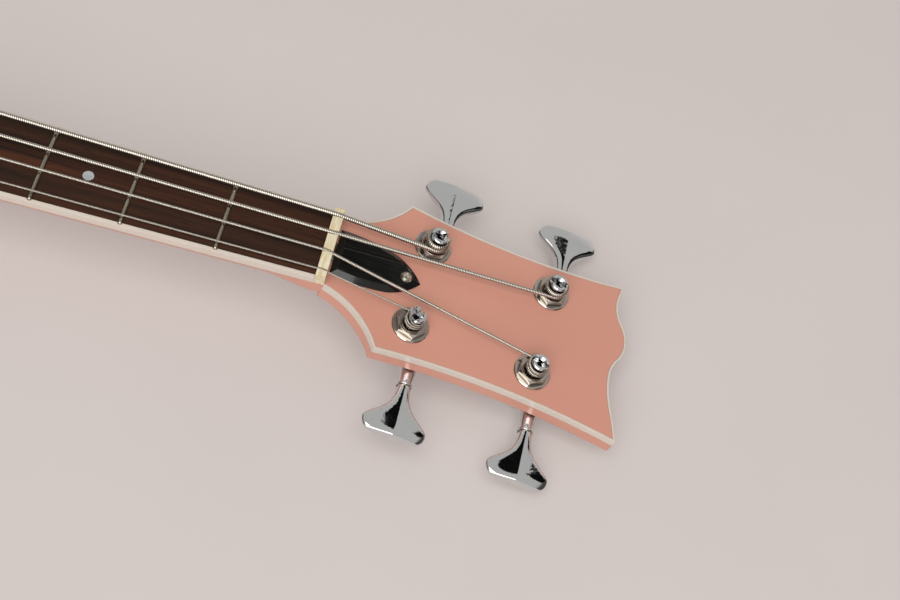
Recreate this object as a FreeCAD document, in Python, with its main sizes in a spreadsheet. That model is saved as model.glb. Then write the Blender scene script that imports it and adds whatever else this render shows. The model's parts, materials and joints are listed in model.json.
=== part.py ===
import FreeCAD, Part
import math
import os
import re
from types import SimpleNamespace

import Sketcher
from FreeCAD import Placement, Rotation, Vector

# Four-string electric bass guitar, lying on its back.
# The origin is on the back of the body, on the centre line, under the line where the strings leave their
# saddles.
# X runs along the strings towards the headstock, Y across towards the thickest string, Z up out of the front.
# Lengths are in millimetres and angles in degrees.

SIZES = {
    # Clearances
    "fit_gap": 0.1,
    "turn_gap": 0.05,
    "loose_gap": 0.3,
    # Scale, neck and board
    "scale_length": 863.6,
    "fret_count": 22,
    "nut_width": 40,
    "nut_thickness": 5,
    "nut_rise": 3.2,
    "nut_end_inset": 0.2,
    "board_end_width": 64,
    "board_overhang": 10,
    "board_thickness": 5,
    "crown_radius": 350,
    "binding_width": 1.8,
    "neck_rise": 6,
    "neck_depth_nut": 15,
    "neck_depth_heel": 17,
    "neck_lean": 0.9,
    "neck_drop": 5.8,
    "neck_belly": 11,
    "heel_depth": 25,
    "heel_inset": 4,
    "heel_length": 80,
    "heel_blend": 36,
    "head_blend": 32,
    "fret_width": 2.6,
    "fret_height": 1.2,
    "fret_inset": 0.7,
    "tang_width": 0.6,
    "tang_depth": 2,
    "dot_radius": 2.7,
    "dot_depth": 1.5,
    "dot_pair_half": 12,
    # Truss rod and its cover
    "rod_radius": 3,
    "rod_depth": 7.2,
    "rod_thread_radius": 2.5,
    "rod_start": 24,
    "rod_nut_flats": 7,
    "rod_nut_start": 6,
    "rod_nut_length": 9,
    "rod_tail": 2,
    "rod_pocket_half": 5.5,
    "rod_pocket_length": 26,
    "rod_pocket_depth": 11,
    "cover_start": 0.8,
    "cover_half": 12.9,
    "cover_shoulder_s": 29,
    "cover_shoulder_half": 11.2,
    "cover_side_bulge": 1,
    "cover_tip_s": 44.9,
    "cover_nose_bulge": 1.6,
    "cover_edge": 0.7,
    "cover_thickness": 2.4,
    "cover_bevel": 2.8,
    "cover_screw_s": 37,
    "cover_screw_head": 3,
    # Headstock outline, along (s) and across the tilted face
    "head_tilt": 10,
    "head_thickness": 12,
    "head_round": 2,
    "head_flare_s": 16,
    "head_flare_half": 26.1,
    "head_corner_s": 31.3,
    "head_corner_half": 42.3,
    "head_waist_s": 89,
    "head_waist_half": 38.7,
    "head_bass_s": 148.3,
    "head_bass_half": 43.4,
    "head_scoop_s": 146.8,
    "head_scoop_v": 33.5,
    "head_bump_s": 154.7,
    "head_bump_v": 10,
    "head_dip_s": 149.2,
    "head_dip_v": 8.5,
    "head_tip_s": 158,
    "head_tip_half": 43.8,
    "head_binding_width": 1.1,
    "head_binding_height": 4,
    # Machine heads
    "post_near": 45.9,
    "post_far": 109.9,
    "post_stagger": 0.6,
    "post_spread": 23.5,
    "post_radius": 4.4,
    "post_waist_radius": 3.7,
    "post_cap_radius": 4.5,
    "post_core_radius": 3,
    "post_pivot_radius": 2,
    "post_waist_top": 10.3,
    "post_cap_height": 0.9,
    "post_top": 12,
    "post_slot_width": 3,
    "post_slot_depth": 3.2,
    "post_bore_radius": 1.6,
    "post_bore_depth": 7,
    "post_mouth_radius": 2.8,
    "post_mouth_depth": 1.2,
    "washer_radius": 9.4,
    "washer_thickness": 1,
    "washer_bevel": 0.4,
    "hex_flats": 14,
    "hex_height": 3,
    "sleeve_radius": 6.5,
    "sleeve_length": 11.5,
    "drum_radius": 8.8,
    "drum_height": 11.5,
    "drum_floor": 2,
    "flange_half_across": 13.5,
    "flange_half_along": 7,
    "flange_thickness": 1.6,
    "tuner_screw_across": 11.2,
    "tuner_screw_along": 3,
    "worm_offset": 8.2,
    "worm_depth": 4.75,
    "worm_radius": 2.2,
    "worm_half": 4.5,
    "worm_shaft_radius": 2,
    "worm_tail_radius": 1.5,
    "worm_tail_length": 2.4,
    "worm_thread_depth": 0.5,
    "wheel_radius": 5.7,
    "wheel_thickness": 5,
    "wheel_tooth": 0.6,
    "barrel_radius": 4.6,
    "barrel_back": 8,
    "barrel_front": 11,
    "snout_root_radius": 4.5,
    "snout_tip_radius": 3.2,
    "collar_start": 45.4,
    "collar_radius": 3.5,
    "collar_thickness": 1.5,
    "key_tang": 9,
    "key_tang_radius": 1.6,
    "key_length": 27.5,
    "key_stem_half": 3.1,
    "key_wing_half": 16.2,
    "key_corner": 4.3,
    "key_ridge": 3.5,
    "key_edge": 1.7,
    # Strings
    "string_e_diameter": 2.54,
    "string_a_diameter": 2.03,
    "string_d_diameter": 1.52,
    "string_g_diameter": 1.02,
    "nut_spread": 31.8,
    "bridge_pitch": 19,
    "nut_action": 1.7,
    "saddle_action": 5.2,
    "string_break": 1.8,
    "string_bend": 1.4,
    "saddle_run": 9,
    "tail_bend": 3,
    "winding_gap": 0.8,
    "ball_radius": 2.8,
    "ball_length": 5,
    # Bridge
    "bridge_rear": 48,
    "bridge_front": 22,
    "bridge_half": 40,
    "bridge_plate": 3,
    "bridge_wall": 2.5,
    "bridge_wall_height": 15.5,
    "tail_height": 13,
    "tail_hole_gap": 0.4,
    "setback_e": 5,
    "setback_a": 4,
    "setback_d": 3,
    "setback_g": 2,
    "saddle_half_length": 8,
    "saddle_half_width": 8,
    "saddle_lift": 1.6,
    "saddle_roof": 4,
    "saddle_ridge": 1.2,
    "saddle_land": 0.9,
    "grub_radius": 1.5,
    "grub_offset": 5.2,
    "grub_recess": 5,
    "intonation_height": 6.8,
    "intonation_radius": 1.5,
    "intonation_head": 2.4,
    "intonation_rise": 1.6,
    "bridge_screw_x": 16.5,
    "bridge_screw_pitch": 16,
    "bridge_screw_radius": 1.8,
    "bridge_screw_head": 3.4,
    "bridge_screw_rise": 1.5,
    "bridge_screw_length": 20,
    # Body: lower points along X, upper points as a reach from the board's end, half widths across
    "body_thickness": 42,
    "body_edge_round": 8,
    "body_binding_width": 2,
    "body_binding_height": 5,
    "tail_x": -88,
    "corner_x": -72,
    "corner_half": 85,
    "rear_x": -26,
    "rear_half": 147,
    "bout_x": 30,
    "bout_half": 160,
    "hip_x": 95,
    "hip_half": 139,
    "waist_x": 155,
    "waist_half": 115,
    "bass_chest_x": 228,
    "bass_chest_half": 124,
    "bass_shoulder_reach": 73,
    "bass_shoulder_half": 142,
    "bass_horn_reach": 134,
    "bass_horn_half": 138,
    "bass_tip_reach": 168,
    "bass_tip_half": 116,
    "bass_inner_reach": 156,
    "bass_inner_half": 92,
    "treble_chest_x": 218,
    "treble_chest_half": 121,
    "treble_shoulder_reach": 52,
    "treble_shoulder_half": 137,
    "treble_horn_reach": 104,
    "treble_horn_half": 132,
    "treble_tip_reach": 132,
    "treble_tip_half": 111,
    "treble_inner_reach": 122,
    "treble_inner_half": 89,
    "cutaway_reach": 100,
    "cutaway_half": 64,
    "throat_reach": 88,
    "throat_half": 44,
    # Neck joint
    "plate_length": 64,
    "plate_width": 51,
    "plate_thickness": 1.8,
    "plate_sink": 0.2,
    "plate_screw_along": 44,
    "plate_screw_across": 38,
    "neck_screw_radius": 2.2,
    "neck_screw_head": 4,
    "neck_screw_length": 35,
    # Pickups
    "neck_pickup_x": 165,
    "bridge_pickup_x": 64,
    "pickup_half_length": 16,
    "pickup_half_width": 50,
    "pickup_sink": 15,
    "pickup_stand": 11,
    "pickup_wall": 2,
    "pickup_boss": 8,
    "pickup_round": 3,
    "coil_half_length": 7,
    "coil_height": 18,
    "magnet_half": 2.5,
    # Controls
    "control_x": 72,
    "control_y": 88,
    "control_step": 30,
    "control_drop": 4,
    "cavity_radius": 17,
    "cavity_lip": 4.5,
    "cavity_roof": 6,
    "cover_plate": 2,
    "pot_radius": 12,
    "pot_height": 9,
    "pot_bush_radius": 3.9,
    "pot_bush_stand": 3.6,
    "pot_nut_flats": 11,
    "pot_nut_height": 2.4,
    "pot_shaft_radius": 3,
    "pot_shaft_stand": 12,
    "pot_floor": 1.2,
    "knob_radius": 9.8,
    "knob_top_radius": 8.2,
    "knob_height": 15.6,
    "knob_lift": 0.6,
    "knob_skirt": 3,
    "knob_recess_radius": 7.4,
    "knob_recess": 5,
    "knob_crown": 1,
    "capacitor_length": 9,
    "capacitor_width": 4,
    "capacitor_height": 7,
    "wire_radius": 1.2,
    "lead_offset": 5.5,
    "wire_channel": 3,
    "wire_height": 31,
    "wire_track": 30,
    "jack_radius": 7,
    "jack_depth": 24,
    "jack_bush_radius": 4.8,
    "jack_bush_stand": 4.2,
    "jack_bore_radius": 3.25,
    "jack_floor": 2,
    "jack_nut_flats": 13,
    "jack_nut_height": 2.6,
    # Strap buttons and small screws
    "button_base_radius": 6.5,
    "button_neck_radius": 3.6,
    "button_cap_radius": 7.5,
    "button_height": 14,
    "button_base": 2,
    "button_cap": 3,
    "button_screw_radius": 2,
    "button_screw_head": 3.4,
    "button_screw_rise": 1.6,
    "button_screw_length": 32,
    "small_screw_radius": 1.2,
    "small_screw_head": 2.1,
    "small_screw_rise": 1.1,
    "small_screw_length": 8,
    "cross_width": 0.8,
    "cross_depth": 0.8,
}

doc = FreeCAD.newDocument("bass_guitar")
sheet = doc.addObject("Spreadsheet::Sheet", "dims")
for row, (alias, value) in enumerate(SIZES.items(), start=1):
    sheet.set(f"A{row}", alias.replace("_", " "))
    sheet.set(f"B{row}", str(value))
    sheet.setAlias(f"B{row}", alias)
doc.recompute()
d = SimpleNamespace(**{alias: float(sheet.get(alias)) for alias in SIZES})

# Heights and stations that several pieces share, as formulas over the sheet
NUT_BACK = "(scale_length + nut_thickness)"
NECK_TOP = "(body_thickness + neck_rise)"
BOARD_TOP = "(body_thickness + neck_rise + board_thickness)"
BOARD_END = "(scale_length * 2 ^ (0 - fret_count / 12) - board_overhang)"
BRIDGE_TOP = "(body_thickness + bridge_plate)"
ROD_HEIGHT = f"({NECK_TOP} - rod_depth)"
CAVITY_ROOF = "(body_thickness - cavity_roof)"
HEX_TOP = "(washer_thickness + hex_height)"
PICKUP_FLOOR = "(body_thickness - pickup_sink)"
COIL_HALF = "(pickup_half_width - pickup_wall - pickup_boss)"
PICKUP_SCREW_Y = "(pickup_half_width - pickup_boss / 2)"
WORM_HEIGHT = "(0 - head_thickness - worm_depth)"
DRUM_BOTTOM = "(0 - head_thickness - drum_height)"

# The same places as numbers
nut_back = d.scale_length + d.nut_thickness
neck_top = d.body_thickness + d.neck_rise
board_top = neck_top + d.board_thickness
board_end = d.scale_length * 2 ** (-d.fret_count / 12) - d.board_overhang
bridge_top = d.body_thickness + d.bridge_plate
pickup_screw_y = d.pickup_half_width - d.pickup_boss / 2
tilt = math.radians(d.head_tilt)
UP = Vector(0, 0, 1)
DOWN = Vector(0, 0, -1)
SLACK = 1e-6

# Each string: its place counted from the centre line, the side of its post, the post's station along the face
# as a formula and as a number, its turns on the post, and how far the post's slot and the bushing's hexagon
# are turned, in degrees
STRINGS = {
    "e": SimpleNamespace(
        rank=1.5,
        side=1,
        post="(post_near + post_stagger)",
        s=d.post_near + d.post_stagger,
        turns=1.25,
        slot=18,
        hexagon=11,
    ),
    "a": SimpleNamespace(
        rank=0.5,
        side=1,
        post="(post_far + post_stagger)",
        s=d.post_far + d.post_stagger,
        turns=1.5,
        slot=-4,
        hexagon=22,
    ),
    "d": SimpleNamespace(
        rank=-0.5,
        side=-1,
        post="(post_far - post_stagger)",
        s=d.post_far - d.post_stagger,
        turns=2,
        slot=-18,
        hexagon=27,
    ),
    "g": SimpleNamespace(
        rank=-1.5,
        side=-1,
        post="(post_near - post_stagger)",
        s=d.post_near - d.post_stagger,
        turns=2.5,
        slot=56,
        hexagon=-14,
    ),
}

nodes = []


# Helpers for objects tied to the sheet

def formula(text):
    """A formula over the sheet's names, in the form that an expression takes."""
    return re.sub(
        r"[a-z][a-z_0-9]*",
        lambda word: "dims." + word.group() if word.group() in SIZES else word.group(),
        text,
    )


def tie(obj, **properties):
    """Tie an object's properties to formulas; a double underscore stands for a dot in a property's path."""
    for path, text in properties.items():
        obj.setExpression(path.replace("__", "."), formula(text))
    return obj


def at(obj, x, y, z):
    """Tie an object's place to three formulas."""
    return tie(obj, Placement__Base__x=x, Placement__Base__y=y, Placement__Base__z=z)


TURNS = {
    "Z": Rotation(),
    "-Z": Rotation(Vector(1, 0, 0), 180),
    "X": Rotation(Vector(0, 1, 0), 90),
    "-X": Rotation(Vector(0, 1, 0), -90),
    "Y": Rotation(Vector(1, 0, 0), -90),
    "-Y": Rotation(Vector(1, 0, 0), 90),
}


def cylinder(radius, height, x, y, z, along="Z"):
    """A round bar that starts at a point and runs along an axis."""
    obj = doc.addObject("Part::Cylinder", "round")
    obj.Placement = Placement(Vector(), TURNS[along])
    return at(tie(obj, Radius=radius, Height=height), x, y, z)


def cone(start_radius, end_radius, height, x, y, z, along="Z"):
    """A round bar whose radius changes evenly along it."""
    obj = doc.addObject("Part::Cone", "taper")
    obj.Placement = Placement(Vector(), TURNS[along])
    return at(tie(obj, Radius1=start_radius, Radius2=end_radius, Height=height), x, y, z)


def hexagon(flats, height, x, y, z, along="Z"):
    """A six-sided bar, given across its flats."""
    obj = doc.addObject("Part::Prism", "hexagon")
    obj.Placement = Placement(Vector(), TURNS[along])
    obj.Polygon = 6
    return at(tie(obj, Circumradius=f"{flats} / sqrt(3)", Height=height), x, y, z)


def box(x, y, z, length, width, height):
    """A block that starts at its low corner."""
    obj = doc.addObject("Part::Box", "block")
    return at(tie(obj, Length=length, Width=width, Height=height), x, y, z)


def fuse(*pieces):
    obj = doc.addObject("Part::MultiFuse", "joined")
    obj.Shapes = list(pieces)
    return obj


def cut(base, *tools):
    obj = doc.addObject("Part::Cut", "cut")
    obj.Base = base
    obj.Tool = tools[0] if len(tools) == 1 else fuse(*tools)
    return obj


def common(base, tool):
    obj = doc.addObject("Part::Common", "shared")
    obj.Base = base
    obj.Tool = tool
    return obj


def group(pieces):
    """Separate solids kept together as one piece."""
    obj = doc.addObject("Part::Compound", "set")
    obj.Links = list(pieces)
    return obj


def solid(shape):
    """A piece whose shape is worked out in this file, in the frame that it was worked out in."""
    obj = doc.addObject("Part::Feature", "form")
    obj.Shape = Part.makeCompound([shape])
    return obj


def outline(body, role, corners):
    """A closed sketch of straight sides on one of a body's own planes; each corner is two formulas."""
    sketch = body.newObject("Sketcher::SketchObject", "outline")
    plane = next(feature for feature in body.Origin.OriginFeatures if feature.Role == role)
    sketch.AttachmentSupport = [(plane, "")]
    sketch.MapMode = "FlatFace"
    count = len(corners)
    start_radius = 20
    start = [
        Vector(start_radius * math.cos(angle), start_radius * math.sin(angle), 0)
        for angle in (2 * math.pi * (i + 0.25) / count for i in range(count))
    ]
    for i in range(count):
        sketch.addGeometry(Part.LineSegment(start[i], start[(i + 1) % count]), False)
    for i in range(count):
        sketch.addConstraint(Sketcher.Constraint("Coincident", i, 2, (i + 1) % count, 1))
    vertical_axis, horizontal_axis = -2, -1
    for i, (across, up) in enumerate(corners):
        for kind, text, value, axis in (
            ("DistanceX", across, start[i].x, vertical_axis),
            ("DistanceY", up, start[i].y, horizontal_axis),
        ):
            if text == "0":
                sketch.addConstraint(Sketcher.Constraint("PointOnObject", i, 1, axis))
            else:
                index = sketch.addConstraint(Sketcher.Constraint(kind, -1, 1, i, 1, value))
                sketch.setExpression(f"Constraints[{index}]", formula(text))
    return sketch


def turned(corners):
    """A turned piece: its half profile, as radius and height, swung about its own Z axis."""
    body = doc.addObject("PartDesign::Body", "turned")
    sketch = outline(body, "XZ_Plane", corners)
    feature = body.newObject("PartDesign::Revolution", "turn")
    feature.Profile = sketch
    feature.ReferenceAxis = (sketch, ["V_Axis"])
    feature.Angle = 360
    return body


def padded(role, corners, length, symmetric=True):
    """A flat outline given a thickness, to both sides of its plane or to one."""
    body = doc.addObject("PartDesign::Body", "pad")
    feature = body.newObject("PartDesign::Pad", "thickness")
    feature.Profile = outline(body, role, corners)
    feature.SideType = "Symmetric" if symmetric else "One side"
    tie(feature, Length=length)
    return body


def on_head(obj):
    """Set a piece made in the headstock face's own frame (along, across, out) on the tilted face."""
    obj.Placement = Placement(Vector(), Rotation(Vector(0, 1, 0), d.head_tilt))
    tie(obj, Placement__Rotation__Angle="head_tilt")
    return at(obj, NUT_BACK, "0", NECK_TOP)


def node(name, obj):
    obj.Label = name
    nodes.append(obj)
    return obj


# Helpers for curves

def arc_from(start, heading, end):
    """An arc that leaves a point in a given direction and ends at another point."""
    chord = end - start
    ahead = chord.dot(heading)
    aside = chord - heading * ahead
    if aside.Length < SLACK:
        return Part.LineSegment(start, end).toShape()
    inward = aside / aside.Length
    radius = chord.Length ** 2 / (2 * aside.Length)
    half_turn = math.atan2(aside.Length, ahead)
    middle = start + inward * (radius * (1 - math.cos(half_turn))) + heading * (radius * math.sin(half_turn))
    return Part.Arc(start, middle, end).toShape()


def biarc(start, heading, end, end_heading):
    """Two arcs that meet smoothly and carry one point and direction over into another."""
    chord = end - start
    both = heading + end_heading
    square = both.dot(both) - 4
    linear = -2 * chord.dot(both)
    constant = chord.dot(chord)
    if abs(square) < SLACK:
        reach = -constant / linear
    else:
        reach = (-linear - math.sqrt(linear ** 2 - 4 * square * constant)) / (2 * square)
    first = start + heading * reach
    second = end - end_heading * reach
    joint = (first + second) / 2
    joint_heading = (second - first).normalize()
    return [arc_from(start, heading, joint), arc_from(joint, joint_heading, end)]


def plate(wire, low, height):
    """A flat wire made a solid between two heights."""
    face = Part.Face(wire)
    face.translate(Vector(0, 0, low))
    return face.extrude(Vector(0, 0, height))


def stadium(first, last, radius, low, height):
    """A straight slot with round ends, between two centres."""
    along = (last - first).normalize()
    across = Vector(-along.y, along.x, 0) * radius
    edges = [
        Part.LineSegment(first - across, last - across).toShape(),
        Part.Arc(last - across, last + along * radius, last + across).toShape(),
        Part.LineSegment(last + across, first + across).toShape(),
        Part.Arc(first + across, first - along * radius, first - across).toShape(),
    ]
    return plate(Part.Wire(edges), low, height)


HEAD_TOP_SHARE = 0.7


def cross(half_length, low):
    """The cross-shaped recess in a screw's head, from a height upwards."""
    arm = Part.makeBox(
        2 * half_length, d.cross_width, d.cross_depth, Vector(-half_length, -d.cross_width / 2, low)
    )
    other = arm.copy()
    other.rotate(Vector(), UP, 90)
    return [arm, other]


def screw(head_radius, head_rise, radius, length, place, along):
    """A cross-head screw: its head stands out of a place and its shank runs in, the way it is driven."""
    shank = Part.makeCylinder(radius, length)
    head = Part.makeCone(head_radius, head_radius * HEAD_TOP_SHARE, head_rise, Vector(), DOWN)
    shape = shank.fuse(head).cut(cross(head_radius / 2, -head_rise)).removeSplitter()
    shape.Placement = Placement(place, Rotation(UP, along))
    return shape


def flush_screw(head_radius, radius, length, place, along):
    """A countersunk cross-head screw whose head lies flush at a place."""
    head_depth = head_radius - radius
    shank = Part.makeCylinder(radius, length)
    head = Part.makeCone(head_radius, radius, head_depth)
    shape = shank.fuse(head).cut(cross(head_radius / 2, 0)).removeSplitter()
    shape.Placement = Placement(place, Rotation(UP, along))
    return shape


# Places along the neck

def half_width(x):
    """Half of the neck's width, which grows evenly from the nut to the board's end."""
    share = (d.scale_length - x) / (d.scale_length - board_end)
    return (d.nut_width + (d.board_end_width - d.nut_width) * share) / 2


def crown_drop(y):
    """How far the board's crown falls at a distance from the centre line."""
    return d.crown_radius - math.sqrt(d.crown_radius ** 2 - y ** 2)


def fret_x(number):
    return d.scale_length * 2 ** (-number / 12)


def fret_place(number):
    """A fret's station as a formula."""
    return f"(scale_length * 2 ^ (0 - {number} / 12))"


def head_point(s, v, n):
    """A point of the headstock face's frame in the instrument's frame."""
    return Vector(
        nut_back + s * math.cos(tilt) + n * math.sin(tilt),
        v,
        neck_top - s * math.sin(tilt) + n * math.cos(tilt),
    )


def head_axes(direction):
    """A direction of the headstock face's frame in the instrument's frame."""
    return head_point(*direction) - head_point(0, 0, 0)


# Neck shaft: a rounded shaft that swells into a square heel at one end and the headstock's root at the other

HEEL_SIDE_SHARE, HEEL_CORNER_SHARE = 0.94, 1.08


def neck_section(x, depth, squareness, lean_angle):
    """One cross-section: flat under the board, two curves meeting on the centre line of the back.

    The curves' poles move out to the corners as the section grows square."""
    half = half_width(x)
    first = Vector(half - d.neck_lean * (1 - squareness), 0, 0)
    first.y = -(d.neck_drop * (1 - squareness) + HEEL_SIDE_SHARE * depth * squareness)
    second = Vector(d.neck_belly * (1 - squareness) + HEEL_CORNER_SHARE * half * squareness, -depth, 0)

    def place(point, sign):
        return Vector(
            x + point.y * math.sin(lean_angle),
            sign * point.x,
            neck_top + point.y * math.cos(lean_angle),
        )

    edge, back = Vector(half, 0, 0), Vector(0, -depth, 0)
    curves = []
    for sign, poles in ((1, (edge, first, second, back)), (-1, (back, second, first, edge))):
        curve = Part.BezierCurve()
        curve.setPoles([place(pole, sign) for pole in poles])
        curves.append(curve.toShape())
    top = Part.LineSegment(place(edge, -1), place(edge, 1)).toShape()
    return Part.Wire([top, *curves])


def ease(share):
    """A smooth step from 0 to 1."""
    return (1 - math.cos(math.pi * share)) / 2


heel_start = board_end + d.heel_inset
heel_end = heel_start + d.heel_length
volute = nut_back - d.head_blend
BLEND_STEPS = 6
sections = [neck_section(heel_start, d.heel_depth, 1, 0)]
for step in range(BLEND_STEPS + 1):
    share = ease(step / BLEND_STEPS)
    depth = d.heel_depth + (d.neck_depth_heel - d.heel_depth) * share
    sections.append(neck_section(heel_end + d.heel_blend * step / BLEND_STEPS, depth, 1 - share, 0))
for step in range(BLEND_STEPS + 1):
    share = ease(step / BLEND_STEPS)
    depth = d.neck_depth_nut + (d.head_thickness - d.neck_depth_nut) * share
    sections.append(neck_section(volute + d.head_blend * step / BLEND_STEPS, depth, share, tilt * share))
neck_blank = solid(Part.makeLoft(sections, True, True))

plate_x = f"({BOARD_END} + heel_inset + heel_length / 2)"
screw_corners = [(i, j) for i in (-1, 1) for j in (-1, 1)]
plate_screw_places = [
    (f"{plate_x} + {i} * plate_screw_along / 2", f"{j} * plate_screw_across / 2") for i, j in screw_corners
]
rod_channel = box(
    f"{BOARD_END} + rod_start - fit_gap",
    "0 - rod_radius - fit_gap",
    f"{ROD_HEIGHT} - rod_radius",
    f"{NUT_BACK} - {BOARD_END}",
    "2 * (rod_radius + fit_gap)",
    "rod_depth + 2 * rod_radius",
)
heel_holes = [
    cylinder("neck_screw_radius + turn_gap", "plate_sink + neck_screw_length + fit_gap", x, y, "0")
    for x, y in plate_screw_places
]
node("neck_shaft", cut(neck_blank, rod_channel, *heel_holes))


# Headstock: a tilted plate with flared shoulders, hollow sides and a scooped end

def head_outline(inset):
    """The headstock's outline on its face, moved inwards by an inset; its root runs on under the nut."""
    root_half = half_width(nut_back)
    overrun = Vector(-d.head_blend, 0, 0)
    down = Vector(0, -1, 0)
    bass = Vector(d.head_bass_s, d.head_bass_half, 0)
    scoop = Vector(d.head_scoop_s, d.head_scoop_v, 0)
    bump = Vector(d.head_bump_s, d.head_bump_v, 0)
    dip = Vector(d.head_dip_s, -d.head_dip_v, 0)
    tip = Vector(d.head_tip_s, -d.head_tip_half, 0)
    edges = []
    for sign, end in ((1, bass), (-1, tip)):
        root = Vector(0, sign * root_half, 0)
        flare = Vector(d.head_flare_s, sign * d.head_flare_half, 0)
        corner = Vector(d.head_corner_s, sign * d.head_corner_half, 0)
        waist = Vector(d.head_waist_s, sign * d.head_waist_half, 0)
        edges.append(Part.LineSegment(root + overrun, root).toShape())
        edges.append(Part.Arc(root, flare, corner).toShape())
        edges.append(Part.Arc(corner, waist, end).toShape())
    edges += biarc(bass, (scoop - bass).normalize(), scoop, down)
    edges += biarc(scoop, down, bump, down)
    edges += biarc(bump, down, dip, down)
    edges += biarc(dip, down, tip, (tip - dip).normalize())
    across = Vector(0, root_half, 0)
    edges.append(Part.LineSegment(overrun + across, overrun - across).toShape())
    wire = Part.Wire(Part.__sortEdges__(edges))
    return wire.makeOffset2D(-inset) if inset else wire


def head_plate(inset, low, height):
    """A plate of the headstock's outline, cut square at the nut's back."""
    half, deep = 2 * d.head_tip_half, 2 * d.head_thickness
    ahead = Part.makeBox(2 * d.head_tip_s, 2 * half, 2 * deep, Vector(0, -half, -deep))
    return plate(head_outline(inset), low, height).common(ahead)


def back_edges(shape, low):
    """The edges all round a plate's lower face, leaving out the one at its root."""
    return [
        edge
        for edge in shape.Edges
        if edge.BoundBox.ZMax < low + SLACK and edge.BoundBox.XMax > d.fit_gap
    ]


head_shape = head_plate(0, -d.head_thickness, d.head_thickness)
head_shape = head_shape.makeFillet(d.head_round, back_edges(head_shape, -d.head_thickness))
head_blank = solid(head_shape)
binding_shape = head_plate(0, -d.head_binding_height, d.head_binding_height).cut(
    head_plate(d.head_binding_width, -d.head_binding_height, d.head_binding_height)
)
rebate = solid(
    head_plate(0, -d.head_binding_height, 2 * d.head_binding_height).cut(
        head_plate(d.head_binding_width + d.fit_gap, -d.head_binding_height, 2 * d.head_binding_height)
    )
)
post_holes = [
    cylinder(
        "sleeve_radius + fit_gap",
        "3 * head_thickness",
        string.post,
        f"{string.side} * post_spread",
        "0 - 2 * head_thickness",
    )
    for string in STRINGS.values()
]
tuner_screw_places = [
    (string.post, string.side, way) for string in STRINGS.values() for way in (-1, 1)
]
tuner_screw_holes = [
    cylinder(
        "small_screw_radius + turn_gap",
        "small_screw_length + fit_gap",
        f"{post} - tuner_screw_along",
        f"{side} * (post_spread + {way} * tuner_screw_across)",
        "0 - head_thickness - flange_thickness",
    )
    for post, side, way in tuner_screw_places
]
cover_screw_hole = cylinder(
    "small_screw_radius + turn_gap",
    "small_screw_length + fit_gap",
    "cover_screw_s",
    "0",
    "cover_thickness - small_screw_length - fit_gap",
)
rod_pocket = box(
    "0 - rod_pocket_length",
    "0 - rod_pocket_half",
    "0 - rod_pocket_depth",
    "2 * rod_pocket_length",
    "2 * rod_pocket_half",
    "2 * rod_pocket_depth",
)
node(
    "headstock",
    on_head(cut(head_blank, rebate, rod_pocket, cover_screw_hole, *post_holes, *tuner_screw_holes)),
)
node("headstock_binding", on_head(solid(binding_shape)))

# Fretboard: a tapered board with a crowned top, let into a binding on three sides
TAPER = f"((board_end_width - nut_width) / 2 / (scale_length - {BOARD_END}))"


def crown_height(y):
    """The height of the board's crown at a distance from the centre line, as a formula."""
    return f"({BOARD_TOP} - crown_radius + sqrt(crown_radius ^ 2 - ({y}) ^ 2))"


def board_blank(inset):
    """A tapered board with a crowned top, narrower than the neck by an inset on three sides."""
    end_half = f"(board_end_width / 2 - {inset} * (1 + {TAPER}))"
    nut_half = f"(nut_width / 2 - {inset})"
    flat = padded(
        "XY_Plane",
        [
            (f"{BOARD_END} + {inset}", f"0 - {end_half}"),
            ("scale_length", f"0 - {nut_half}"),
            ("scale_length", nut_half),
            (f"{BOARD_END} + {inset}", end_half),
        ],
        "board_thickness",
        symmetric=False,
    )
    at(flat, "0", "0", NECK_TOP)
    crown = cylinder("crown_radius", "2 * scale_length", "0", "0", f"{BOARD_TOP} - crown_radius", "X")
    return common(flat, crown)


fret_numbers = range(1, int(d.fret_count) + 1)
fret_slots = [
    box(
        f"{fret_place(number)} - tang_width / 2 - turn_gap",
        "0 - board_end_width",
        f"{crown_height('board_end_width / 2')} - tang_depth - fit_gap",
        "tang_width + 2 * turn_gap",
        "2 * board_end_width",
        "board_thickness",
    )
    for number in fret_numbers
]
dot_places = []
for number in (3, 5, 7, 9, 12, 15, 17, 19, 21):
    between = f"({fret_place(number)} + {fret_place(number - 1)}) / 2"
    for side in ((-1, 1) if number == 12 else (0,)):
        dot_places.append((between, f"{side} * dot_pair_half"))
dot_holes = [
    cylinder("dot_radius + turn_gap", "2 * dot_depth", x, y, f"{crown_height(y)} - dot_depth")
    for x, y in dot_places
]
dots = [
    cylinder("dot_radius", "dot_depth", x, y, f"{crown_height(y)} - dot_depth") for x, y in dot_places
]
board_gap = "(binding_width + turn_gap)"
node("fretboard", cut(board_blank(board_gap), *fret_slots, *dot_holes))
node("fret_markers", group(dots))
node("fretboard_binding", cut(board_blank("0 * binding_width"), board_blank("binding_width")))


# Frets: a bead that follows the crown, on a tang that sits in its slot

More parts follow.
